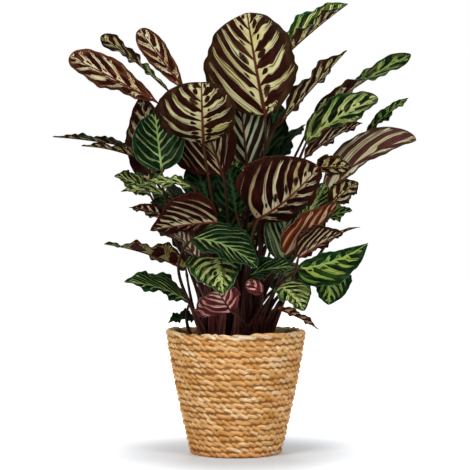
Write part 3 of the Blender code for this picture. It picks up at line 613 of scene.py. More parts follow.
@dataclass(frozen=True)
class Leaf:
    """One leaf, in mm and degrees, as its solid has it.

    Attributes:
        name: The leaf's name.
        base: Where the blade starts: across and up as seen from the front on the plane of the axis, and the depth
            behind that plane. tip is where it ends.
        halves: Widths left and right of the midrib.
        face: The way that the upper side looks.
        shape: Where the blade is widest, and how its base and its tip narrow.
        arch: Bow of the midrib towards the upper side, and bend to the right, as shares of the length.
        fold: Lift of both halves, and cup their curl, towards the upper side.
        twist: Turn along the length.
        wave: Height of the margin's waves.
        shares: The leaf out of whose sheath this one grows.
        upper: The finish of the upper side, and under of the underside.
        slant: How far the bands lean towards the tip where they start at the base, as a tangent, and skew how much
            more they do on the right than on average.
        bands: How many bands there are on a side.
        tone: The leaf's lightness: partly its own colour, partly painted light and shade for how lit it stands.
    """

    name: str
    base: Point
    tip: Point
    halves: tuple[float, float]
    face: Point
    shape: Point = PLAIN
    arch: float = 0.06
    bend: float = 0.0
    fold: float = 10.0
    cup: float = 0.0
    twist: float = 0.0
    wave: float = 4.0
    shares: str = ""
    upper: Look = Look.GREEN
    under: Look = Look.MAROON
    slant: float = 0.3
    skew: float = 0.0
    bands: float = 6.0
    tone: float = 1.0

    @property
    def node(self) -> str:
        """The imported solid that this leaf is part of."""
        return self.shares or self.name


# a tone below 1 is partly painted shade for a leaf in shade, and a tone above 1 partly painted light for a lit one
FRONT_LEAVES = [
    # the broad leaves in the middle, seen from below
    Leaf("leaf_mid_1", (48, 554, -84), (18, 722, -52), (68, 90), (0.05, 1, 0.12), (0.44, 0.5, 0.3), -0.12, 0, 4, 25,
         slant=0.3, skew=0.3, bands=6.4),
    Leaf("leaf_mid_2", (-53, 508, -115), (-57, 609, -185), (55, 78), (0, 0.8, 0.6), (0.5, 0.32, 0.38), -0.12, 0, 4, 20,
         slant=-0.35, bands=6.4),
    Leaf("leaf_mid_3", (36, 384, -110), (136, 471, -165), (42, 84), (-0.2, 0.88, 0.4), (0.42, 0.25, 0.5), -0.1, 0, 4,
         20, under=Look.RUSSET, slant=0.2, bands=6.4),
    Leaf("leaf_mid_4", (-21, 457, -80), (-64, 590, -84), (40, 82), (0.2, 1, 0.2), (0.42, 0.65, 0.6), -0.05,
         under=Look.RUSSET, slant=1.5, bands=6.0, tone=0.9),
    Leaf("leaf_mid_5", (18, 475, -28), (3, 623, -24), (50, 54), (0, 1, 0.1), PLAIN, 0.02, under=Look.ASHEN, slant=1.4),
    Leaf("leaf_mid_6", (77, 315, -84), (84, 417, -62), (34, 34), (0, -1, 0.15), PLAIN, 0.03, upper=Look.SILVER,
         slant=1.2, tone=0.9),
    Leaf("leaf_mid_7", (-13, 315, -50), (-13, 409, -42), (27, 27), (0, -1, 0.1), PLAIN, 0.03, upper=Look.SHADED_GREEN),
    Leaf("leaf_mid_8", (-43, 409, -48), (-71, 483, -36), (32, 32), (0, -1, 0.2), PLAIN, 0.04, upper=Look.SHADED_GREEN),
    Leaf("leaf_mid_9", (0, 393, -42), (-13, 475, -32), (36, 36), (0.2, -1, 0.2), PLAIN, 0.04, upper=Look.SHADED_GREEN),
    # left side
    Leaf("leaf_left_7", (-122, 464, -86), (-133, 559, -42), (43, 43), (0, -1, 0.35), ROUND, 0.03, upper=Look.EMERALD,
         slant=0.2, bands=8.0),
    Leaf("leaf_left_6", (-140, 445, -12), (-154, 588, 4), (36, 38), (0.1, 1, 0.1), PLAIN, 0.04, under=Look.RUSSET,
         tone=0.8),
    Leaf("leaf_left_1", (-62, 315, -85), (-108, 371, -90), (22, 24), (0.75, 0.55, 0.3), PLAIN, 0.05, 0, 14,
         under=Look.ROSE),
    Leaf("leaf_left_2", (-30, 379, -105), (-141, 365, -135), (52, 16), (0.1, 0.9, 0.4), (0.4, 0.4, 0.9), 0.05,
         under=Look.RUSSET, slant=0.9, bands=6.5, tone=0.85),
    Leaf("leaf_left_3", (-62, 385, -40), (-141, 411, -72), (26, 26), (0, -0.6, 0.75), PLAIN, 0.08, upper=Look.SHADED_GREEN),
    Leaf("leaf_left_4", (-105, 417, -60), (-189, 429, -84), (18, 20), (0, -0.45, 0.9), PLAIN, 0.1, 0, 14, 0, 0, 5,
         upper=Look.BRIGHT, slant=0.8, bands=4.5),
    Leaf("leaf_left_5", (-141, 424, -42), (-200, 455, -66), (24, 26), (0, -0.6, 0.8), PLAIN, 0.08,
         upper=Look.BRIGHT),
    Leaf("leaf_left_8", (-171, 503, -10), (-301, 519, -30), (15, 14), (0, -0.1, 1), PLAIN, 0.02, 0, 26, 0, 0, 4,
         upper=Look.SHADED_GREEN),
    Leaf("leaf_left_9", (-160, 485, -20), (-254, 504, -42), (15, 14), (0, 0.1, 1), PLAIN, 0.05, 0, 26, 0, 0, 4,
         "leaf_left_8"),
    Leaf("leaf_left_10", (-125, 573, -50), (-273, 651, -80), (30, 26), (0, 0.85, 0.5), (0.68, 1.1, 0.42), 0.03, 0, 8,
         0, 0, 5, under=Look.CREAM, slant=0.7, bands=6.0, tone=1.15),
    Leaf("leaf_left_11", (-112, 596, -4), (-222, 683, 10), (20, 20), (0, -0.6, 0.8), (0.7, 0.8, 0.45), 0.04, 0, 14, 0,
         110, 5, upper=Look.BRIGHT),
    Leaf("leaf_left_12", (-87, 600, -28), (-159, 695, -50), (20, 20), (-0.3, 0.9, 0.4), (0.7, 0.7, 0.42), 0.02, 0, 8,
         0, 0, 5, under=Look.CREAM, slant=0.7, bands=5.0, tone=1.1),
    Leaf("leaf_left_13", (-51, 430, -62), (-88, 440, -74), (10, 12), (0, 0.7, 0.6), PLAIN, 0.15, 0, 10, 40, 0, 3,
         "leaf_mid_9", under=Look.RUSSET),
    Leaf("leaf_left_14", (-72, 437, -45), (-158, 440, -70), (18, 18), (0, -0.5, 0.85), PLAIN, 0.08, 0, 12, 0, 0, 5,
         upper=Look.BRIGHT, slant=0.8, bands=4.5),
    Leaf("leaf_left_15", (-108, 382, -52), (-176, 403, -84), (14, 16), (0.2, 0.8, 0.5), LONG_TIP, 0.1, 0, 10, 30, 0,
         3, "leaf_mid_8", under=Look.RUSSET),
    # low leaves, nearest the basket
    Leaf("leaf_low_1", (-33, 320, -105), (-21, 259, -185), (36, 54), (0, -0.5, 0.85), (0.38, 0.4, 0.9), 0.1,
         upper=Look.BRIGHT, bands=6.0, tone=1.15),
    Leaf("leaf_low_2", (-71, 352, -150), (35, 304, -180), (44, 38), (0.25, -0.65, 0.7), PLAIN, 0.13,
         upper=Look.EMERALD, slant=0.7, bands=8.0),
    Leaf("leaf_low_3", (-8, 232, -105), (-32, 268, -165), (28, 50), (-0.39, 0.6, 0.7), ROUND, 0.03,
         under=Look.YOUNG, bands=5.0),
    Leaf("leaf_low_4", (-76, 246, -60), (-184, 281, -100), (22, 38), (0, -0.55, 0.85), PLAIN, 0.08, 0, 8, 0, 0, 5,
         upper=Look.EMERALD, slant=0.9, skew=0.6, bands=8.0, tone=1.5),
    Leaf("leaf_low_5", (72, 273, -130), (112, 233, -180), (34, 24), (0.1, -0.75, 0.7), PLAIN, 0.1, 0, 14,
         upper=Look.BRIGHT),
    Leaf("leaf_low_6", (143, 312, -90), (152, 243, -112), (40, 36), (0.45, -0.85, 0.3), PLAIN, 0.12,
         upper=Look.VIVID, bands=5.0, tone=1.15),
    Leaf("leaf_low_7", (102, 302, -135), (217, 345, -130), (18, 42), (-0.3, -0.75, 0.55), (0.27, 0.4, 0.95), 0.02,
         0.1, 8, 0, 35, 5, upper=Look.VIVID, bands=6.0, tone=0.95),
    Leaf("leaf_low_8", (20, 290, -125), (97, 305, -150), (26, 26), (0, -0.6, 0.8), PLAIN, 0.08, 0, 12,
         upper=Look.EMERALD, slant=1.0),
    Leaf("leaf_low_9", (-82, 301, -50), (-217, 343, -75), (38, 22), (0, 0.65, 0.75), PLAIN, 0.06, 0, 16, 0, -55, 6,
         under=Look.SPOTTED, slant=-0.7, bands=4.6),
    Leaf("leaf_low_10", (-59, 217, -55), (-112, 213, -64), (16, 26), (0, -0.3, 1), PLAIN, 0.12, upper=Look.SHADED_GREEN),
    Leaf("leaf_low_11", (66, 238, -85), (136, 202, -110), (14, 12), (0.4, 0.5, 0.8), PLAIN, 0.05, 0, 20, 0, 0, 3,
         under=Look.CREAM),
    Leaf("leaf_low_12", (43, 262, -88), (18, 282, -112), (12, 13), (-0.3, 0.8, 0.5), ROUND, 0.05, 0, 10, 0, 0, 2,
         "leaf_low_3", under=Look.YOUNG, bands=2.5, tone=1.35),
    # right side
    Leaf("leaf_right_1", (102, 320, -150), (176, 361, -160), (14, 36), (-0.2, 0.75, 0.6), PLAIN, 0.05, 0, 16,
         under=Look.RUSSET, slant=1.6, bands=5.0),
    Leaf("leaf_right_2", (82, 324, -125), (167, 412, -122), (14, 40), (-0.5, 0.75, 0.35), (0.32, 0.4, 0.8), -0.05,
         under=Look.COPPER, slant=2.0, bands=3.2),
    Leaf("leaf_right_3", (150, 345, -150), (204, 371, -170), (5, 5), (0, 0.5, 0.8), (0.2, 0.6, 1), 0.1, 0, 20, 60,
         0, 1, "leaf_right_1"),
    Leaf("leaf_right_4", (125, 374, -76), (191, 398, -92), (26, 22), (0, -0.6, 0.8), PLAIN, 0.06, 0, 14, 0, 0, 6),
    Leaf("leaf_right_5", (105, 376, -90), (148, 445, -86), (28, 32), (0.5, -0.8, 0.2), PLAIN, 0.05,
         upper=Look.BRIGHT, slant=1.0, tone=0.8),
    Leaf("leaf_right_6", (156, 407, -108), (200, 445, -124), (20, 22), (-0.1, 0.8, 0.5), ROUND, 0.06,
         under=Look.MAROON, bands=4.0, tone=1.1),
    Leaf("leaf_right_7", (147, 419, -80), (296, 514, -98), (10, 40), (-0.1, 0.95, 0.2), (0.5, 0.65, 0.5), 0.05, 0.11,
         4, 0, 0, 5, under=Look.ROSE, slant=3.2, bands=2.6),
    Leaf("leaf_right_8", (133, 469, -106), (189, 471, -150), (18, 21), (0, 0.9, 0.4), ROUND, 0.0, 0, 8,
         under=Look.MAROON, bands=4.0, tone=1.1),
    Leaf("leaf_right_9", (215, 524, 5), (283, 583, 0), (12, 12), (-0.2, -0.7, 0.6), PLAIN, 0.05, 0, 24),
    Leaf("leaf_right_10", (113, 485, -90), (208, 542, -102), (17, 20), (-0.4, 0.5, 0.75), PLAIN, 0.05, 0, 20, 0, 0, 5,
         under=Look.RUSSET, slant=1.5),
    Leaf("leaf_right_11", (115, 509, -45), (233, 583, -60), (44, 38), (-0.2, -0.65, 0.75), (0.5, 0.42, 0.55), 0.06,
         upper=Look.BRIGHT, bands=4.6, tone=0.85),
    Leaf("leaf_right_12", (130, 552, 10), (287, 654, 25), (25, 25), (0, 1, 0), (0.5, 0.42, 0.6), 0.0, 0.03, 12, 0, 185,
         5),
    Leaf("leaf_right_13", (64, 534, -20), (182, 661, -12), (28, 32), (-0.7, 0.35, 0.62), (0.5, 0.8, 0.8), 0.0, 0, 20,
         0, 0, 7, slant=0.9),
    Leaf("leaf_right_14", (77, 650, 15), (184, 737, 5), (40, 34), (-0.61, -0.3, 0.72), PLAIN, 0.02, 0, 40, 0, 0, 6,
         upper=Look.BRIGHT, tone=1.5),
]


@dataclass(frozen=True)
class FrontView:
    """The eye from which the leaves' places are given: its distance from the axis and its height, in mm."""

    distance: float = 3000.0
    height: float = 420.0

    def place(self, point: Point, deeper: float = 0.0) -> Array:
        """The point in space that shows at (across, up) on the axis's plane and lies at that depth plus deeper."""
        across, up, depth = point
        depth += deeper
        grow = 1 + depth / self.distance
        return np.array([across * grow, depth, self.height + (up - self.height) * grow])

    def show(self, point: Array) -> Point:
        """The reverse of place: a point in space as (across, up, depth)."""
        grow = 1 + point[1] / self.distance
        return (point[0] / grow, self.height + (point[2] - self.height) / grow, point[1])


VIEW = FrontView()


@dataclass
class BackLeaves:
    """The leaves behind the clump: they climb by golden steps to and fro, and get steeper with height.

    Attributes:
        count: How many there are, and shoots how many of them have a solid of their own.
        seed: Where the loose numbers start, and draws how many draws each leaf gets.
        heights: Height of the base for the lowest and the highest leaf, and so on for the degrees to each side
            (spreads), the distance from the axis (reaches) and the slope in degrees (pitches).
    """

    count: int = 20
    shoots: int = 12
    seed: int = 11
    draws: int = 10
    heights: tuple[float, float] = (250.0, 475.0)
    spreads: tuple[float, float] = (50.0, 76.0)
    reaches: tuple[float, float] = (84.0, 62.0)
    pitches: tuple[float, float] = (8.0, 52.0)

    def leaf(self, name: str, aside: float, rise: float, rng: random.Random, shares: str) -> Leaf:
        """One draw of a leaf.

        Args:
            name: The leaf's name.
            aside: From -1 on the clump's right to 1 on its left.
            rise: From 0 low to 1 high.
            rng: Where the loose numbers come from.
            shares: The leaf out of whose sheath it grows, or nothing.

        Returns:
            The leaf.
        """
        spread, pitch, reach, height = (low + (high - low) * rise for low, high in (
            self.spreads, self.pitches, self.reaches, self.heights))
        turn = math.radians(90 + spread * aside + rng.uniform(-5, 5))
        pitch = math.radians(pitch + rng.uniform(-9, 9))
        out = np.array([math.cos(turn), math.sin(turn), 0.0])
        up = np.array([0.0, 0.0, 1.0])
        base = out * reach + up * (height + rng.uniform(-18, 18))
        tip = base + (out * math.cos(pitch) + up * math.sin(pitch)) * rng.uniform(112, 150)
        face = up * math.cos(pitch) - out * math.sin(pitch)
        half = rng.uniform(38, 52)
        kind = sum(map(ord, name))
        return Leaf(name, VIEW.show(base), VIEW.show(tip), (half, half), tuple(face), PLAIN, rng.uniform(0.02, 0.12),
                    0, rng.uniform(4, 16), 0, rng.uniform(-20, 20), rng.uniform(3, 6), shares,
                    (Look.GREEN, Look.BRIGHT, Look.SHADED_GREEN)[kind % 3], (Look.MAROON, Look.RUSSET)[kind % 2])

    def wishes(self) -> list[list[Leaf]]:
        """For each leaf, the draws of which one was taken."""
        rng = random.Random(self.seed)
        found = []
        # the leaves after the shoots grow out of the last shoots' sheaths, from the fifth on
        for i in range(self.count):
            aside, rise = 2 * (i * GOLDEN_ANGLE / math.tau % 1) - 1, i / (self.count - 1)
            sheath = f"leaf_back_{i - 7}" if i >= self.shoots else ""
            name = f"{sheath}b" if sheath else f"leaf_back_{i + 1}"
            found.append([self.leaf(name, aside, rise, rng, sheath) for _ in range(self.draws)])
        return found


@dataclass
class Blade:
    """The surface of one leaf's blade, a function of t along the midrib and u across it, from -1 to 1.

    Attributes:
        leaf: The leaf.
        deeper: How far it was moved along the line of sight to clear its neighbours.
        number: A number of its own, which its pattern reads.
        waves: Long waves along the margin, and ripples the short ones.
        ripple: Height of a ripple as a share of a wave's.
        scallop: How deep the margin is nicked, as a share of the half width.
        thick: Thickness at the midrib, and thin at the margin.
        stations: Rows along the blade, and places points across each side of it.
        margin_at: Half width of the leaf that has the finish's own margin, and rib_at the whole width of the one
            that has its midrib, which gets stouter on others within the limits stout.
        hook: How far a band bends as it leaves the midrib, in shares of the length, and over what share of the width.
    """

    leaf: Leaf
    deeper: float
    number: float
    waves: float = 2.6
    ripples: float = 8.2
    ripple: float = 0.42
    scallop: float = 0.03
    thick: float = 1.0
    thin: float = 0.45
    stations: int = 58
    places: int = 25
    margin_at: float = 40.0
    rib_at: float = 84.0
    stout: tuple[float, float] = (0.7, 1.9)
    hook: tuple[float, float] = (0.03, 0.07)

    def __post_init__(self) -> None:
        """Works out the midrib's three points and the way that the blade looks."""
        self.base, self.tip = (VIEW.place(point, self.deeper) for point in (self.leaf.base, self.leaf.tip))
        chord = self.tip - self.base
        self.length = float(np.linalg.norm(chord))
        along = chord / self.length
        face = np.asarray(self.leaf.face, float)
        self.up = unit(face - face.dot(along) * along)
        right = np.cross(along, self.up)
        self.bow = (self.base + self.tip) / 2 + 2 * self.length * (self.leaf.arch * self.up + self.leaf.bend * right)
        self.phase = sum(map(ord, self.leaf.name)) * 0.7

    def outline(self, t: Array) -> Array:
        """Share of the half width: a sine power up to the widest place, a cosine power from there to the tip."""
        widest, base, tip = self.leaf.shape
        near = np.sin(np.pi / 2 * np.clip(t / widest, 0, 1)) ** base
        far = np.cos(np.pi / 2 * np.clip((t - widest) / (1 - widest), 0, 1)) ** tip
        return np.where(t < widest, near, far)

    def spine(self, t: Array) -> Array:
        """Points of the midrib, a curve of the second degree from base over bow to tip."""
        t = t[:, None]
        return (1 - t) ** 2 * self.base + 2 * t * (1 - t) * self.bow + t**2 * self.tip

    def frames(self, t: Array) -> tuple[Array, Array, Array]:
        """Along, across and upper-side directions of the midrib at each t, turned by the twist's share."""
        t = t[:, None]
        along = unit((1 - t) * (self.bow - self.base) + t * (self.tip - self.bow))
        flat = unit(self.up - (along @ self.up)[:, None] * along)
        side = np.cross(along, flat)
        turn = np.radians(self.leaf.twist) * t
        return along, side * np.cos(turn) - flat * np.sin(turn), flat * np.cos(turn) + side * np.sin(turn)

    def half(self, t: Array, u: Array) -> Array:
        """Half width in mm at every t, for the side that u is on: the margin runs in and out a little.

        The nicks are a squared sine, a little wider than the ripples, whose depth changes slowly along the leaf.
        """
        full = np.where(u < 0, *self.leaf.halves) * self.outline(t)[:, None]
        t = t[:, None]
        nick = np.sin(np.pi * (self.ripples * 0.8 * t + 0.3 * self.phase) + 0.8 * np.sign(u)) ** 2
        nick = nick * (0.6 + 0.4 * np.sin(9 * t + self.phase + 2.0 * np.sign(u)))
        return full * (1 - self.scallop * nick * np.clip(5 * t, 0, 1))

    def surface(self, t: Array, u: Array, lift: Array) -> Array:
        """Points at every t and u, lifted off the mid surface.

        Each half is an arc: it leaves the midrib at the fold's angle and turns by the cup's. Long waves grow with
        the square of the way out, and short ripples with its fourth power.
        """
        _, side, up = (axis[:, None, :] for axis in self.frames(t))
        hand, far = np.sign(u)[None, :], np.abs(u)[None, :]
        fold = np.where(hand == 0, 0.0, math.radians(self.leaf.fold))
        cup = math.radians(self.leaf.cup) + 1e-6
        half = self.half(t, u[None, :])
        reach, rise = half * np.sin(cup * far) / cup, half * (1 - np.cos(cup * far)) / cup
        calm = np.sin(np.pi * t)[:, None] ** 0.6
        swell, small = (np.sin(2 * np.pi * many * t[:, None] + turn * self.phase + other * hand)
                        for many, turn, other in ((self.waves, 1.0, 1.1), (self.ripples, 1.7, 2.3)))
        off = self.leaf.wave * calm * (swell * far**2 + self.ripple * small * far**4) + lift[None, :]
        lean = fold + cup * far
        out = reach * np.cos(fold) - rise * np.sin(fold) - off * np.sin(lean)
        over = reach * np.sin(fold) + rise * np.cos(fold) + off * np.cos(lean)
        return self.spine(t)[:, None, :] + side * (hand * out)[:, :, None] + up * over[:, :, None]

    def shell(self) -> Shell:
        """The blade as a closed body, thinner at its margin, with what its pattern reads.

        The count of bands falls with the distance from the midrib, so that a band leaves the midrib and bends
        towards the tip, and the more so the nearer the tip it starts.
        """
        t = 0.5 - 0.5 * np.cos(np.pi * np.linspace(0.012, 0.985, self.stations))
        u = np.linspace(-1, 1, self.places)
        lift = 0.5 * (self.thin + (self.thick - self.thin) * (1 - u**6))
        points = np.concatenate([self.surface(t, u, lift), self.surface(t, u[::-1], -lift)], axis=1)
        half = self.half(t, u[None, :])
        off, inward = half * np.abs(u), half * (1 - np.abs(u))
        t, wide = t[:, None], max(self.leaf.halves)
        slope = self.leaf.slant + self.leaf.skew * np.sign(u) + t**1.5 + 0.5 * off / wide
        start = t - off / self.length * slope - self.hook[0] * (1 - np.exp(-off / (self.hook[1] * wide)))
        stout = np.clip(sum(self.leaf.halves) / self.rib_at, *self.stout)
        read = {"veins": (self.leaf.bands * start + 0.37 * self.number, u, self.number),
                "reach": (off / stout, t, inward * (self.margin_at / wide) ** 0.8),
                "tone": (self.leaf.tone,) * 3}
        marks = {}
        for name, values in read.items():
            side = np.stack([np.broadcast_to(value, off.shape) for value in values], axis=-1)
            marks[name] = np.concatenate([side, side[:, ::-1]], axis=1)
        return Shell(points, marks, np.repeat([0, 1], self.places), Ends.PINCHED)


@dataclass
class Stalk:
    """The stalk of one leaf: straight up out of the soil, a free curve to the blade, then the rib beneath it.

    Attributes:
        blade: The blade, and stand where the stalk stands in the soil.
        sway: Which way it leans, from -1 to 1, and swing how far at most.
        depth: How deep it stands in the soil.
        foot_radius: Radius at the soil, and top_radius at the blade.
        wings: How much wider than thick the sheath is, and winged where along the stalk that ends.
        joint: Place and length of the swelling below the blade, and its size, as shares.
        rib: Radius of the rib at the blade's tip, and how much more it has at the base.
        sides: Points round the stalk, and stations rows along it, and as many along the rib.
    """

    blade: Blade
    stand: Array
    sway: float
    depth: float = 34.0
    foot_radius: float = 3.6
    top_radius: float = 1.7
    swing: float = 26.0
    wings: float = 1.5
    winged: tuple[float, float] = (0.16, 0.5)
    joint: Point = (0.93, 0.035, 0.28)
    rib: tuple[float, float] = (0.3, 1.35)
    sides: int = 12
    stations: int = 28

    def __post_init__(self) -> None:
        """Works out the four points of the stalk's curve, with the same shares as its solid's."""
        along, side, _ = self.blade.frames(np.zeros(1))
        self.side = side[0]
        foot = np.array([self.stand[0], self.stand[1], SOIL_TOP])
        rise = self.blade.base - foot
        arrive = unit(along[0] + 0.9 * unit(rise) + np.array([0, 0, 0.35]))
        reach = np.linalg.norm(rise)
        lean = unit(np.cross(rise, [0.0, 0.0, 1.0]) + 1e-6) * self.sway * self.swing
        self.points = [foot, foot + [0, 0, 0.42 * reach] + lean, self.blade.base - arrive * 0.32 * reach + lean,
                       self.blade.base]

    def centre(self, s: Array) -> Array:
        """Points of the centre line, a curve of the third degree, from the soil at 0 to the blade at 1."""
        s = s[:, None]
        a, b, c, d = self.points
        return (1 - s) ** 3 * a + 3 * s * (1 - s) ** 2 * b + 3 * s**2 * (1 - s) * c + s**3 * d

    def shell(self) -> Shell:
        """A tube round the centre line: it swells at the joint below the blade, and runs out as a rib under it.

        Low down it is a sheath, a flat oval that lies round the clump, and higher up it turns to the blade's side.
        """
        s = np.linspace(0, 1, self.stations)
        t = np.linspace(0.03, 0.95, self.stations)
        _, _, up = self.blade.frames(t)
        thick = self.rib[0] + self.rib[1] * (1 - t) ** 0.8
        drop = 0.75 * thick * smooth(0, 0.08, t)
        stem = self.centre(s)
        path = np.vstack([stem[:1] - [0, 0, self.depth], stem, self.blade.spine(t) - up * drop[:, None]])
        joint = 1 + self.joint[2] * np.exp(-(((s - self.joint[0]) / self.joint[1]) ** 2))
        radii = np.concatenate([[self.foot_radius],
                                (self.foot_radius + (self.top_radius - self.foot_radius) * s) * joint, thick])
        ahead = unit(np.gradient(path, axis=0))
        place = np.concatenate([[0.0], s, 1 + t])
        around = unit(np.array([CLUMP[1] - self.stand[1], self.stand[0] - CLUMP[0], 1e-3]))
        around = around * np.where(around @ self.side < 0, -1, 1)
        turned = smooth(*self.winged, place)[:, None]
        side = unit((1 - turned) * around + turned * self.side)
        side = unit(side - (ahead * side).sum(1)[:, None] * ahead)
        up = np.cross(side, ahead)
        broad = 1 + self.wings * (1 - turned)
        angle = circle(self.sides)
        ring = np.cos(angle)[None, :, None] * (side * broad)[:, None, :] + np.sin(angle)[None, :, None] * up[:, None, :]
        points = path[:, None, :] + radii[:, None, None] * ring
        stem_marks = np.stack([np.broadcast_to(value, points.shape[:2]) for value in (
            place[:, None], 3 * np.abs(np.sin(angle / 2)), self.blade.number)], axis=-1)
        return Shell(points, {"stem": stem_marks}, np.full(self.sides, 2))


@dataclass
class Plant:
    """All the leaves, each in the place where its solid stands.

    Attributes:
        spacing: Scale of the sunflower spiral in which the stalks stand, and places how many it has.
        sheath_apart: How far a leaf stands from the one out of whose sheath it grows.
        depth_step: The moves along the line of sight, and depth_steps how many there are each way.
        fit: How close a leaf has to come to its solid.
    """

    spacing: float = 7.4
    places: int = 76
    sheath_apart: float = 2.4
    depth_step: float = 7.0
    depth_steps: int = 11
    fit: float = 0.2

    def __post_init__(self) -> None:
        """Lays out the sunflower spiral of places to stand."""
        i = np.arange(self.places)
        self.spots = lathe(self.spacing * np.sqrt(i + 0.5), GOLDEN_ANGLE * i, 0.0)[:, :2] + CLUMP
        self.finishes: dict[Look, bpy.types.Material] = {}

    def corners(self, node: str) -> Array:
        """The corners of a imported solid, in mm."""
        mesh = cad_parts[node].data
        points = np.empty(len(mesh.vertices) * 3, np.float32)
        mesh.vertices.foreach_get("co", points)
        return points.reshape(-1, 3).astype(float) / MM

    @staticmethod
    def gaps(points: Array, corners: Array) -> Array:
        """How far each point is from the nearest corner."""
        return np.sqrt(((points[:, None, :] - corners[None, :, :]) ** 2).sum(-1)).min(1)

    def settle(self, draws: list[Leaf], number: float, stands: dict[str, Array]) -> tuple[Blade, Stalk]:
        """Reads off a leaf's solid how deep, where and with what sway it stands.

        Args:
            draws: The leaf, or the draws of which one was taken.
            number: The leaf's own number.
            stands: Where the leaves stand that were settled before; the new one is added.

        Returns:
            The blade and the stalk.
        """
        corners = self.corners(draws[0].node)
        moves = [self.depth_step * k for k in range(-self.depth_steps, self.depth_steps + 1)]
        tries = [(leaf, move) for leaf in draws for move in moves]
        gap = self.gaps(np.array([VIEW.place(leaf.tip, move) for leaf, move in tries]), corners)
        leaf, move = tries[int(gap.argmin())]
        blade = Blade(leaf, move, number)
        if leaf.shares:
            partner = stands[leaf.shares]
            stand = partner + self.sheath_apart * unit(VIEW.place(leaf.base)[:2] - partner + 1e-6)
        else:
            foot = corners[corners[:, 2] < corners[:, 2].min() + 0.5].mean(0)[:2]
            stand = self.spots[((self.spots - foot) ** 2).sum(1).argmin()]
        stands[leaf.name] = stand
        stalks = [Stalk(blade, stand, sway) for sway in (0.0, 1.0, -1.0)]
        apart = [self.gaps(stalk.centre(np.array([0.35, 0.68])), corners).mean() for stalk in stalks]
        stalk = stalks[int(np.argmin(apart))]
        if gap.min() > self.fit or min(apart) > stalk.foot_radius + self.fit:
            LOG.warning("%s doesn't fit its solid: tip %.2f mm, stalk %.2f mm", leaf.name, gap.min(), min(apart))
        return blade, stalk

    def finish(self, look: Look) -> bpy.types.Material:
        """The material of a look, made once."""
        if look not in self.finishes:
            self.finishes[look] = look.value.build()
        return self.finishes[look]

    def build(self) -> None:
        """Makes one piece for each leaf solid, with the leaves that share its sheath."""
        stem = StalkFinish().build()
        stands: dict[str, Array] = {}
        pieces: dict[str, tuple[list[Shell], list[bpy.types.Material]]] = {}
        for i, draws in enumerate([[leaf] for leaf in FRONT_LEAVES] + BackLeaves().wishes()):
            blade, stalk = self.settle(draws, 1.0 + i, stands)
            shells, finishes = pieces.setdefault(blade.leaf.node, ([], []))
            for shell in (blade.shell(), stalk.shell()):
                shell.slots = shell.slots + len(finishes)
                shells.append(shell)
            finishes += [self.finish(blade.leaf.upper), self.finish(blade.leaf.under), stem]
        for node, (shells, finishes) in pieces.items():
            piece = make_piece(f"{node}_blade", shells, finishes)
            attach(piece, "root")
            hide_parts(node)


# ---------------------------------------------------------------------------------------------------------------
# Basket, pot and soil


def waves(kinds: tuple[Point, ...], row: Array, turn: Array) -> Array:
    """A sum of sines round the basket, each kind with its count, its shift from row to row and its height."""
    return sum(high * np.sin(many * turn + shift * row) for many, shift, high in kinds)


def outermost(circles: list[tuple[Array, ...]]) -> tuple[Array, Array, Array]:
    """The outermost of several circles at each spot.

    Args:
        circles: For each circle, the spot's distance from its middle, how far out the middle is, its radius (none
            where it is 0), and mm along the strand and the strand's loose number, which the finish reads.

    Returns:
        How far out the outermost circle is and how far the next one, and mm along, mm across and the loose number.
    """
    best = second = np.full(circles[0][0].shape, NOTHING)
    marks = np.zeros((3, *best.shape))
    for level, out, radius, along, chance in circles:
        surface = np.where(np.abs(level) < radius, out + np.sqrt(np.maximum(radius**2 - level**2, 0)), NOTHING)
        better = surface > best
        second = np.where(better, best, np.maximum(second, surface))
        best = np.where(better, surface, best)
        marks = np.where(better, [along, level, chance], marks)
    return best, second, marks


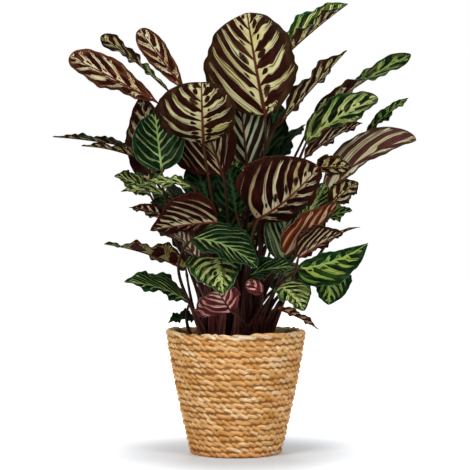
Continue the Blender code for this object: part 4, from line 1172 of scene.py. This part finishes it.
@dataclass
class Basket:
    """A basket of rope rows, laid one on the other: two strands twisted into each rope.

    Attributes:
        rope: Thickness of a row, and rows how many there are.
        radius: Outer radius at the rim, and taper and bulge how it shrinks towards the foot.
        wall: Thickness of the wall, and floor of the bottom.
        ply: How many strands a rope has.
        strand: Radius of a strand, and off_centre how far its middle is from the rope's.
        twist: Length of one whole turn of the rope, and row_shift the share of a turn between a row and the next.
        fat: Least share of its radius that a stretch of strand has, and how much more it can have.
        rim_grows: How much longer the rim's turns are, how much thicker its strands, and how far more it strays.
        seam: How far a strand has to stand out past the next for the finish to paint no shade where they meet.
        uneven: How loosely the rope is twisted, and wander how far a row strays, as waves takes them.
        columns: Points round the basket, and inner_rings rows of them on its inside, which has the share
            inner_relief of the outside's relief.
        shallow: How far out the gaps between the strands reach, and rim_shallow how high those on the rim.
        levels: Heights of the points on a row, as shares of half its thickness.
        rim: Places of the points on the rim, outwards from the top row's middle.
        under: Radii and heights of the points on the underside, and bottom radii of those on the floor.
    """

    rope: float = 9.2
    rows: int = 22
    radius: float = 115.0
    taper: float = 40.0
    bulge: float = 1.25
    wall: float = 9.0
    floor: float = 9.0
    ply: int = 2
    strand: float = 3.05
    off_centre: float = 1.95
    twist: float = 29.0
    row_shift: float = 0.618
    fat: tuple[float, float] = (0.84, 0.3)
    rim_grows: Point = (1.6, 1.08, 1.5)
    seam: float = 1.6
    uneven: tuple[Point, ...] = ((5, 2.1, 0.9), (11, 4.7, 0.5), (23, 1.3, 0.25))
    wander: tuple[Point, ...] = ((3, 1.7, 0.7), (8, 2.9, 0.6), (19, 0.9, 0.35))
    columns: int = 440
    inner_rings: int = 46
    inner_relief: float = 0.45
    shallow: float = 1.8
    rim_shallow: float = 0.8
    levels: tuple[float, ...] = (-0.97, -0.72, -0.42, -0.1, 0.22, 0.55, 0.85)
    rim: tuple[float, ...] = (3.2, 1.9, 0.6, -0.7, -2.0, -3.3)
    under: tuple[tuple[float, float], ...] = ((1.5, 0.15), (18.0, 0.15), (36.0, 0.15), (54.0, 0.15), (68.0, 0.0))
    bottom: tuple[float, ...] = (66.0, 50.0, 33.0, 16.0, 1.5)

    @property
    def height(self) -> float:
        """Height of the whole basket."""
        return self.rope * self.rows

    def outer(self, height: Array) -> Array:
        """Outer radius at a height: a taper that bulges a little."""
        return self.radius - self.taper * (1 - np.clip(height / self.height, 0, 1)) ** self.bulge

    def strands(self, row: Array, turn: Array) -> list[tuple[Array, ...]]:
        """The strands of a row at each turn round the basket.

        A strand's middle goes round the rope's as a screw. Whole numbers of turns fit round each row.

        Args:
            row: The number of the row.
            turn: Angle round the basket.

        Returns:
            For each strand, height and outward place of its middle from the rope's, its radius, mm along it from its
            outermost spot, and a loose number from 0 to 1 for the stretch that shows.
        """
        rim = row >= self.rows - 1
        length = np.where(rim, self.rim_grows[0] * self.twist, self.twist)
        turns = np.round(2 * np.pi * self.outer((row + 0.5) * self.rope) / length)
        found = []
        for which in range(self.ply):
            screw = (-turns * turn + waves(self.uneven, row, turn)) / (2 * np.pi)
            screw = screw + self.row_shift * row + which / self.ply
            stretch = np.floor(screw + 0.5)
            chance, size = (draw(np.mod(stretch, turns), row, which + other) for other in (0, 5))
            fat = self.strand * (self.fat[0] + self.fat[1] * size) * np.where(rim, self.rim_grows[1], 1.0)
            angle = 2 * np.pi * screw
            found.append((self.off_centre * np.sin(angle), self.off_centre * np.cos(angle), fat,
                          (screw - stretch) * length, chance))
        return found

    def middle(self, row: Array, turn: Array) -> Array:
        """Height of a row's middle, which wanders a little round the basket."""
        stray = waves(self.wander, row, turn) * np.where(row >= self.rows - 1, self.rim_grows[2], 1.0)
        return (row + 0.5) * self.rope + stray - np.where(row < 1, 0.3, 0)

    def weave(self, height: Array, turn: Array) -> tuple[Array, dict[str, Array]]:
        """How far the rope stands out from the rows' middle line, at every height and turn.

        The surface is the outermost of the strands' circles, from the row at that height and those next to it.

        Returns:
            mm outwards, and what the finish reads.
        """
        height, turn = np.meshgrid(height, turn, indexing="ij")
        here = np.clip(np.floor(height / self.rope), 0, self.rows - 1)
        best, second, (along, across, tone) = outermost([
            (height - self.middle(row, turn) - up, out, fat * ((row >= 0) & (row < self.rows)), place, chance)
            for row in (here - 1, here, here + 1) for up, out, fat, place, chance in self.strands(row, turn)])
        # painted shade: seam and crest tell the finish where to darken the straw, where two strands meet and low
        # between them
        seam = np.clip((best - second) / self.seam, 0, 1)
        best = np.maximum(best, self.shallow)
        # painted light: the top row is painted paler, as if lit from above
        light = 0.25 * smooth(self.rows - 1.2, self.rows - 0.8, height / self.rope)
        crest = (best - self.shallow) / (self.strand + self.off_centre - self.shallow)
        return best, {"rope": np.stack([along, across, np.clip(0.8 * tone + 0.08 + light, 0, 1)], axis=-1),
                      "lie": np.stack([crest, height / self.height, seam], axis=-1)}

    def top(self, out: Array, turn: Array) -> tuple[Array, dict[str, Array]]:
        """Height of the rim's surface, at every place outwards from the top row's middle and every turn.

        Returns:
            Height in mm, and what the finish reads.
        """
        out, turn = np.meshgrid(out, turn, indexing="ij")
        row = np.full(out.shape, self.rows - 1.0)
        best, _, (along, across, tone) = outermost([
            (out - aside, up, fat, place, chance) for up, aside, fat, place, chance in self.strands(row, turn)])
        best = np.maximum(best, self.rim_shallow)
        whole = np.ones_like(best)
        # painted light: the rim's straw is painted paler, as if lit from above; its low spots still get painted shade
        return self.middle(row, turn) + best, {
            "rope": np.stack([along, across, np.clip(0.6 * tone + 0.5, 0, 1)], axis=-1),
            "lie": np.stack([best / 4.5, whole, whole], axis=-1)}

    def build(self) -> bpy.types.Object:
        """Makes the basket as one closed surface: underside, outside, rim, inside and floor."""
        turn, half = circle(self.columns), self.rope / 2
        outside = ((np.arange(self.rows)[:, None] + 0.5 + np.array(self.levels) / 2) * self.rope).ravel()
        outside = outside[(outside > 0.5) & (outside < self.height - 1.9)]
        inside = np.linspace(self.height - 3.2, self.floor + 0.5, self.inner_rings)
        out, out_marks = self.weave(outside, turn)
        across = np.array(self.rim)
        rim, rim_marks = self.top(across, turn)
        inner, inner_marks = self.weave(inside, turn)
        # painted light: the inside is painted paler and nearly free of the gaps' painted shade, as if lit over the rim
        inner_marks["rope"][:, :, 2] = np.clip(inner_marks["rope"][:, :, 2] + 0.6, 0, 1)
        inner_marks["lie"][:, :, [0, 2]] = 0.8 + 0.2 * inner_marks["lie"][:, :, [0, 2]]
        under, bottom = np.array(self.under), np.array(self.bottom)[:, None]
        flat = {key: np.full((len(under), self.columns, 3), (0.0, 0.0, 0.5)) for key in ("rope", "lie")}
        inner_radius = self.outer(inside)[:, None] - self.wall + self.inner_relief * (half - inner)
        bands = [(under[:, :1], under[:, 1:], flat),
                 (self.outer(outside)[:, None] - half + out, outside[:, None], out_marks),
                 (self.radius - half + across[:, None], rim, rim_marks),
                 (inner_radius, inside[:, None], inner_marks),
                 (bottom, self.floor, flat)]
        points = np.concatenate([lathe(radius, turn, height) for radius, height, _ in bands])
        marks = {key: np.concatenate([read[key] for _, _, read in bands]) for key in flat}
        piece = make_piece("basket_weave", [Shell(points, marks, np.zeros(self.columns, int))],
                           [SeagrassFinish().build()])
        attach(piece, "root")
        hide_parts("basket")
        return piece


@dataclass
class NurseryPot:
    """The thin black pot: its own solid stays, and a smooth rolled lip goes over the solid's.

    Attributes:
        foot: Height of its underside, and height, radius and wall its own height, outer radius and thickness.
        lip_height: Height of the lip, with columns points round it and section points round its section.
    """

    foot: float = 9.3
    height: float = 165.0
    radius: float = 85.0
    wall: float = 1.4
    lip_height: float = 12.0
    columns: int = 128
    section: int = 24

    def build(self) -> bpy.types.Object:
        """Gives the solid its plastic and makes the lip, whose section is a rounded upright bar."""
        finish = PlasticFinish().build()
        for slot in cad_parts["nursery_pot"].material_slots:
            slot.material = finish
        angle, turn = circle(self.section), circle(self.columns)[:, None]
        thick, tall = self.wall / 2 + 0.35, self.lip_height / 2 + 0.3
        aside, rise = (np.sign(wave) * np.abs(wave) ** 0.5 for wave in (np.cos(angle), np.sin(angle)))
        points = lathe(self.radius - self.wall / 2 + thick * aside, turn,
                       self.foot + self.height - self.lip_height / 2 + tall * rise)
        lip = make_piece("pot_lip", [Shell(points, {}, np.zeros(self.section, int), Ends.RING)], [finish])
        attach(lip, "root")
        return lip


@dataclass
class Soil:
    """The soil in the nursery pot, and the crumbs and bits of bark that lie on it.

    Attributes:
        bottom: Height of its underside.
        foot_radius: Radius down there, and rim_radius at its surface.
        lumps: Scale of the surface's lumps, and lengths the length and share of each kind.
        dip: How much lower the surface lies at the pot's wall.
        columns: Points round the soil, and rings rows of them on its surface.
        crumbs: How many crumbs lie on it, and seed where their loose numbers start.
    """

    bottom: float = 11.0
    foot_radius: float = 60.3
    rim_radius: float = 78.9
    lumps: float = 1.3
    lengths: tuple[tuple[float, float], ...] = ((31.0, 0.8), (17.0, 0.6), (9.5, 0.45), (5.2, 0.35), (3.1, 0.2))
    dip: float = 4.0
    columns: int = 160
    rings: int = 60
    crumbs: int = 420
    seed: int = 5

    def surface(self, radius: Array, turn: Array) -> Array:
        """Height at a radius and a turn: sines of several lengths, turned against each other, and a dip at the wall."""
        x, y = radius * np.cos(turn), radius * np.sin(turn)
        total = 0.0
        for k, (length, share) in enumerate(self.lengths):
            a, b = math.cos(2.4 * k), math.sin(2.4 * k)
            total = total + share * np.sin(2 * np.pi * (a * x + b * y) / length + k) * np.sin(
                2 * np.pi * (a * y - b * x) / (1.23 * length) + 2 * k)
        edge = self.dip * smooth(self.rim_radius - 9, self.rim_radius, radius)
        return SOIL_TOP - 0.6 - edge + self.lumps * total

    def build(self) -> None:
        """Makes the soil as one closed surface, and its crumbs as one piece."""
        finish = SoilFinish().build()
        turn = circle(self.columns)
        radius = np.linspace(1.0, self.rim_radius - 0.8, self.rings)[:, None]
        low = np.array([(self.rim_radius, SOIL_TOP - 8), (self.foot_radius, self.bottom),
                        (self.foot_radius * 0.5, self.bottom), (1.0, self.bottom)])
        points = np.vstack([lathe(radius, turn, self.surface(radius, turn)), lathe(low[:, :1], turn, low[:, 1:])])
        soil = make_piece("soil_surface", [Shell(points, {}, np.zeros(self.columns, int))], [finish])
        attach(soil, "root")
        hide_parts("potting_soil")
        crumbs = make_piece("soil_crumbs", self.crumb_shells(), [finish])
        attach(crumbs, "root")

    def crumb_shells(self) -> list[Shell]:
        """Small uneven lumps: balls of three rings whose points are moved in or out, spread evenly over the soil."""
        rng = np.random.default_rng(self.seed)
        radius = (self.rim_radius - 5) * np.sqrt(rng.uniform(0, 1, self.crumbs))
        turn = rng.uniform(0, 2 * np.pi, self.crumbs)
        size = rng.uniform(0.9, 2.6, (self.crumbs, 1, 1))
        latitude = np.radians([-50, 0, 50])[:, None]
        rings = lathe(np.cos(latitude), circle(6), np.sin(latitude))
        ball = np.vstack([rings.reshape(-1, 3), [[0, 0, -1], [0, 0, 1]]])
        lumps = ball * size * rng.uniform(0.65, 1.25, (self.crumbs, len(ball), 1))
        lumps[:, :, :2] *= rng.uniform(0.7, 1.5, (self.crumbs, 1, 2))
        lumps += lathe(radius, turn, self.surface(radius, turn))[:, None, :]
        return [Shell(lump[:-2].reshape(rings.shape), {}, np.zeros(rings.shape[1], int), poles=lump[-2:])
                for lump in lumps]


# ---------------------------------------------------------------------------------------------------------------
# Studio


@dataclass(frozen=True)
class SoftBox:
    """One soft light: its place and size in metres, power in watts and colour, and if it is mirrored in gloss."""

    name: str
    place: Point
    size: float
    power: float
    colour: str = "#FFFFFF"
    mirrored: bool = True


@dataclass
class Studio:
    """A white floor and surround, soft boxes, and the photograph's camera, in metres.

    Attributes:
        eye: Where the camera stands, and aim what it looks at.
        lens: Its focal length, and sensor its sensor's width, in mm.
        floor_size: Width of the floor.
        floor_glow: The floor's glow to the eye near the axis and far from it, and floor_ring where it changes.
        surround: Strength of the surround's light.
        light_aim: The spot that the soft lights, boxes, point at.
    """

    eye: Point = (-0.0016, -3.0, 0.42)
    aim: Point = (-0.0016, 0.0, 0.358)
    lens: float = 139.9
    sensor: float = 36.0
    floor_size: float = 12.0
    floor_glow: tuple[float, float] = (0.1, 1.0)
    floor_ring: tuple[float, float] = (0.09, 0.4)
    surround: float = 0.14
    light_aim: Point = (0.0, 0.0, 0.35)
    boxes: tuple[SoftBox, ...] = (
        SoftBox("key", (-1.5, -2.1, 1.8), 1.3, 56.0, "#FFFCF8"),
        SoftBox("fill", (1.7, -2.0, 1.3), 1.4, 42.0, "#FAFCFF"),
        SoftBox("top", (0.1, 0.5, 2.5), 1.5, 18.0),
        SoftBox("back", (-0.3, 2.6, 1.7), 1.5, 34.0, mirrored=False),
    )

    @staticmethod
    def aimed(name: str, data: bpy.types.ID, place: Point, aim: Point) -> bpy.types.Object:
        """A linked camera or light that stands in its place and points at a spot."""
        made = bpy.data.objects.new(name, data)
        made.location = place
        made.rotation_euler = (Vector(aim) - Vector(place)).to_track_quat("-Z", "Y").to_euler()
        bpy.context.scene.collection.objects.link(made)
        return made

    def build(self) -> None:
        """Makes the floor, the surround, the lights and the camera."""
        self.build_floor()
        self.build_surround()
        for box in self.boxes:
            light = bpy.data.lights.new(box.name, "AREA")
            light.shape = "DISK"
            light.size = box.size
            light.energy = box.power
            light.color = linear(box.colour)[:3]
            self.aimed(box.name, light, box.place, self.light_aim).visible_glossy = box.mirrored
        camera = bpy.data.cameras.new("camera")
        camera.sensor_width = self.sensor
        camera.lens = self.lens
        bpy.context.scene.camera = self.aimed("camera", camera, self.eye, self.aim)
        bpy.context.scene.view_settings.view_transform = "Standard"
        LOG.info("studio: %d lights", len(self.boxes))

    def build_floor(self) -> None:
        """A wide white floor, matt, with a glow to the eye alone that keeps its far part as white as the surround."""
        half = self.floor_size / 2
        mesh = bpy.data.meshes.new("floor")
        mesh.from_pydata([(-half, -half, 0), (half, -half, 0), (half, half, 0), (-half, half, 0)], [], [(0, 1, 2, 3)])
        material, put, shader = start_material("white_paper")
        away = put("VectorMath", [put("TexCoord").outputs["Object"]], operation="LENGTH")
        glow = put("MapRange", [away, *self.floor_ring, *self.floor_glow], interpolation_type="SMOOTHSTEP")
        seen = put("LightPath").outputs["Is Camera Ray"]
        fill_inputs(shader, {"Base Color": "#D4D9DE", "Roughness": 0.9, "Emission Color": "#FFFFFF",
                             "Emission Strength": put("Math", [glow, seen], operation="MULTIPLY")})
        mesh.materials.append(material)
        floor = bpy.data.objects.new("floor", mesh)
        bpy.context.scene.collection.objects.link(floor)

    def build_surround(self) -> None:
        """White where the camera looks past the floor, and a softer light everywhere else."""
        world = bpy.data.worlds.new("studio")
        world.use_nodes = True
        tree = world.node_tree
        seen = add_node(tree, "LightPath").outputs["Is Camera Ray"]
        strength = add_node(tree, "MapRange", [seen, 0.0, 1.0, self.surround, 1.0])
        fill_inputs(tree.nodes["Background"], {"Color": "#FFFFFF", "Strength": strength})
        bpy.context.scene.world = world


def main() -> None:
    """Builds every sub-assembly in order."""
    logging.basicConfig(level=logging.INFO, format="%(name)s %(message)s")
    Studio().build()
    Basket().build()
    NurseryPot().build()
    Soil().build()
    Plant().build()


if __name__ == "__main__":
    main()
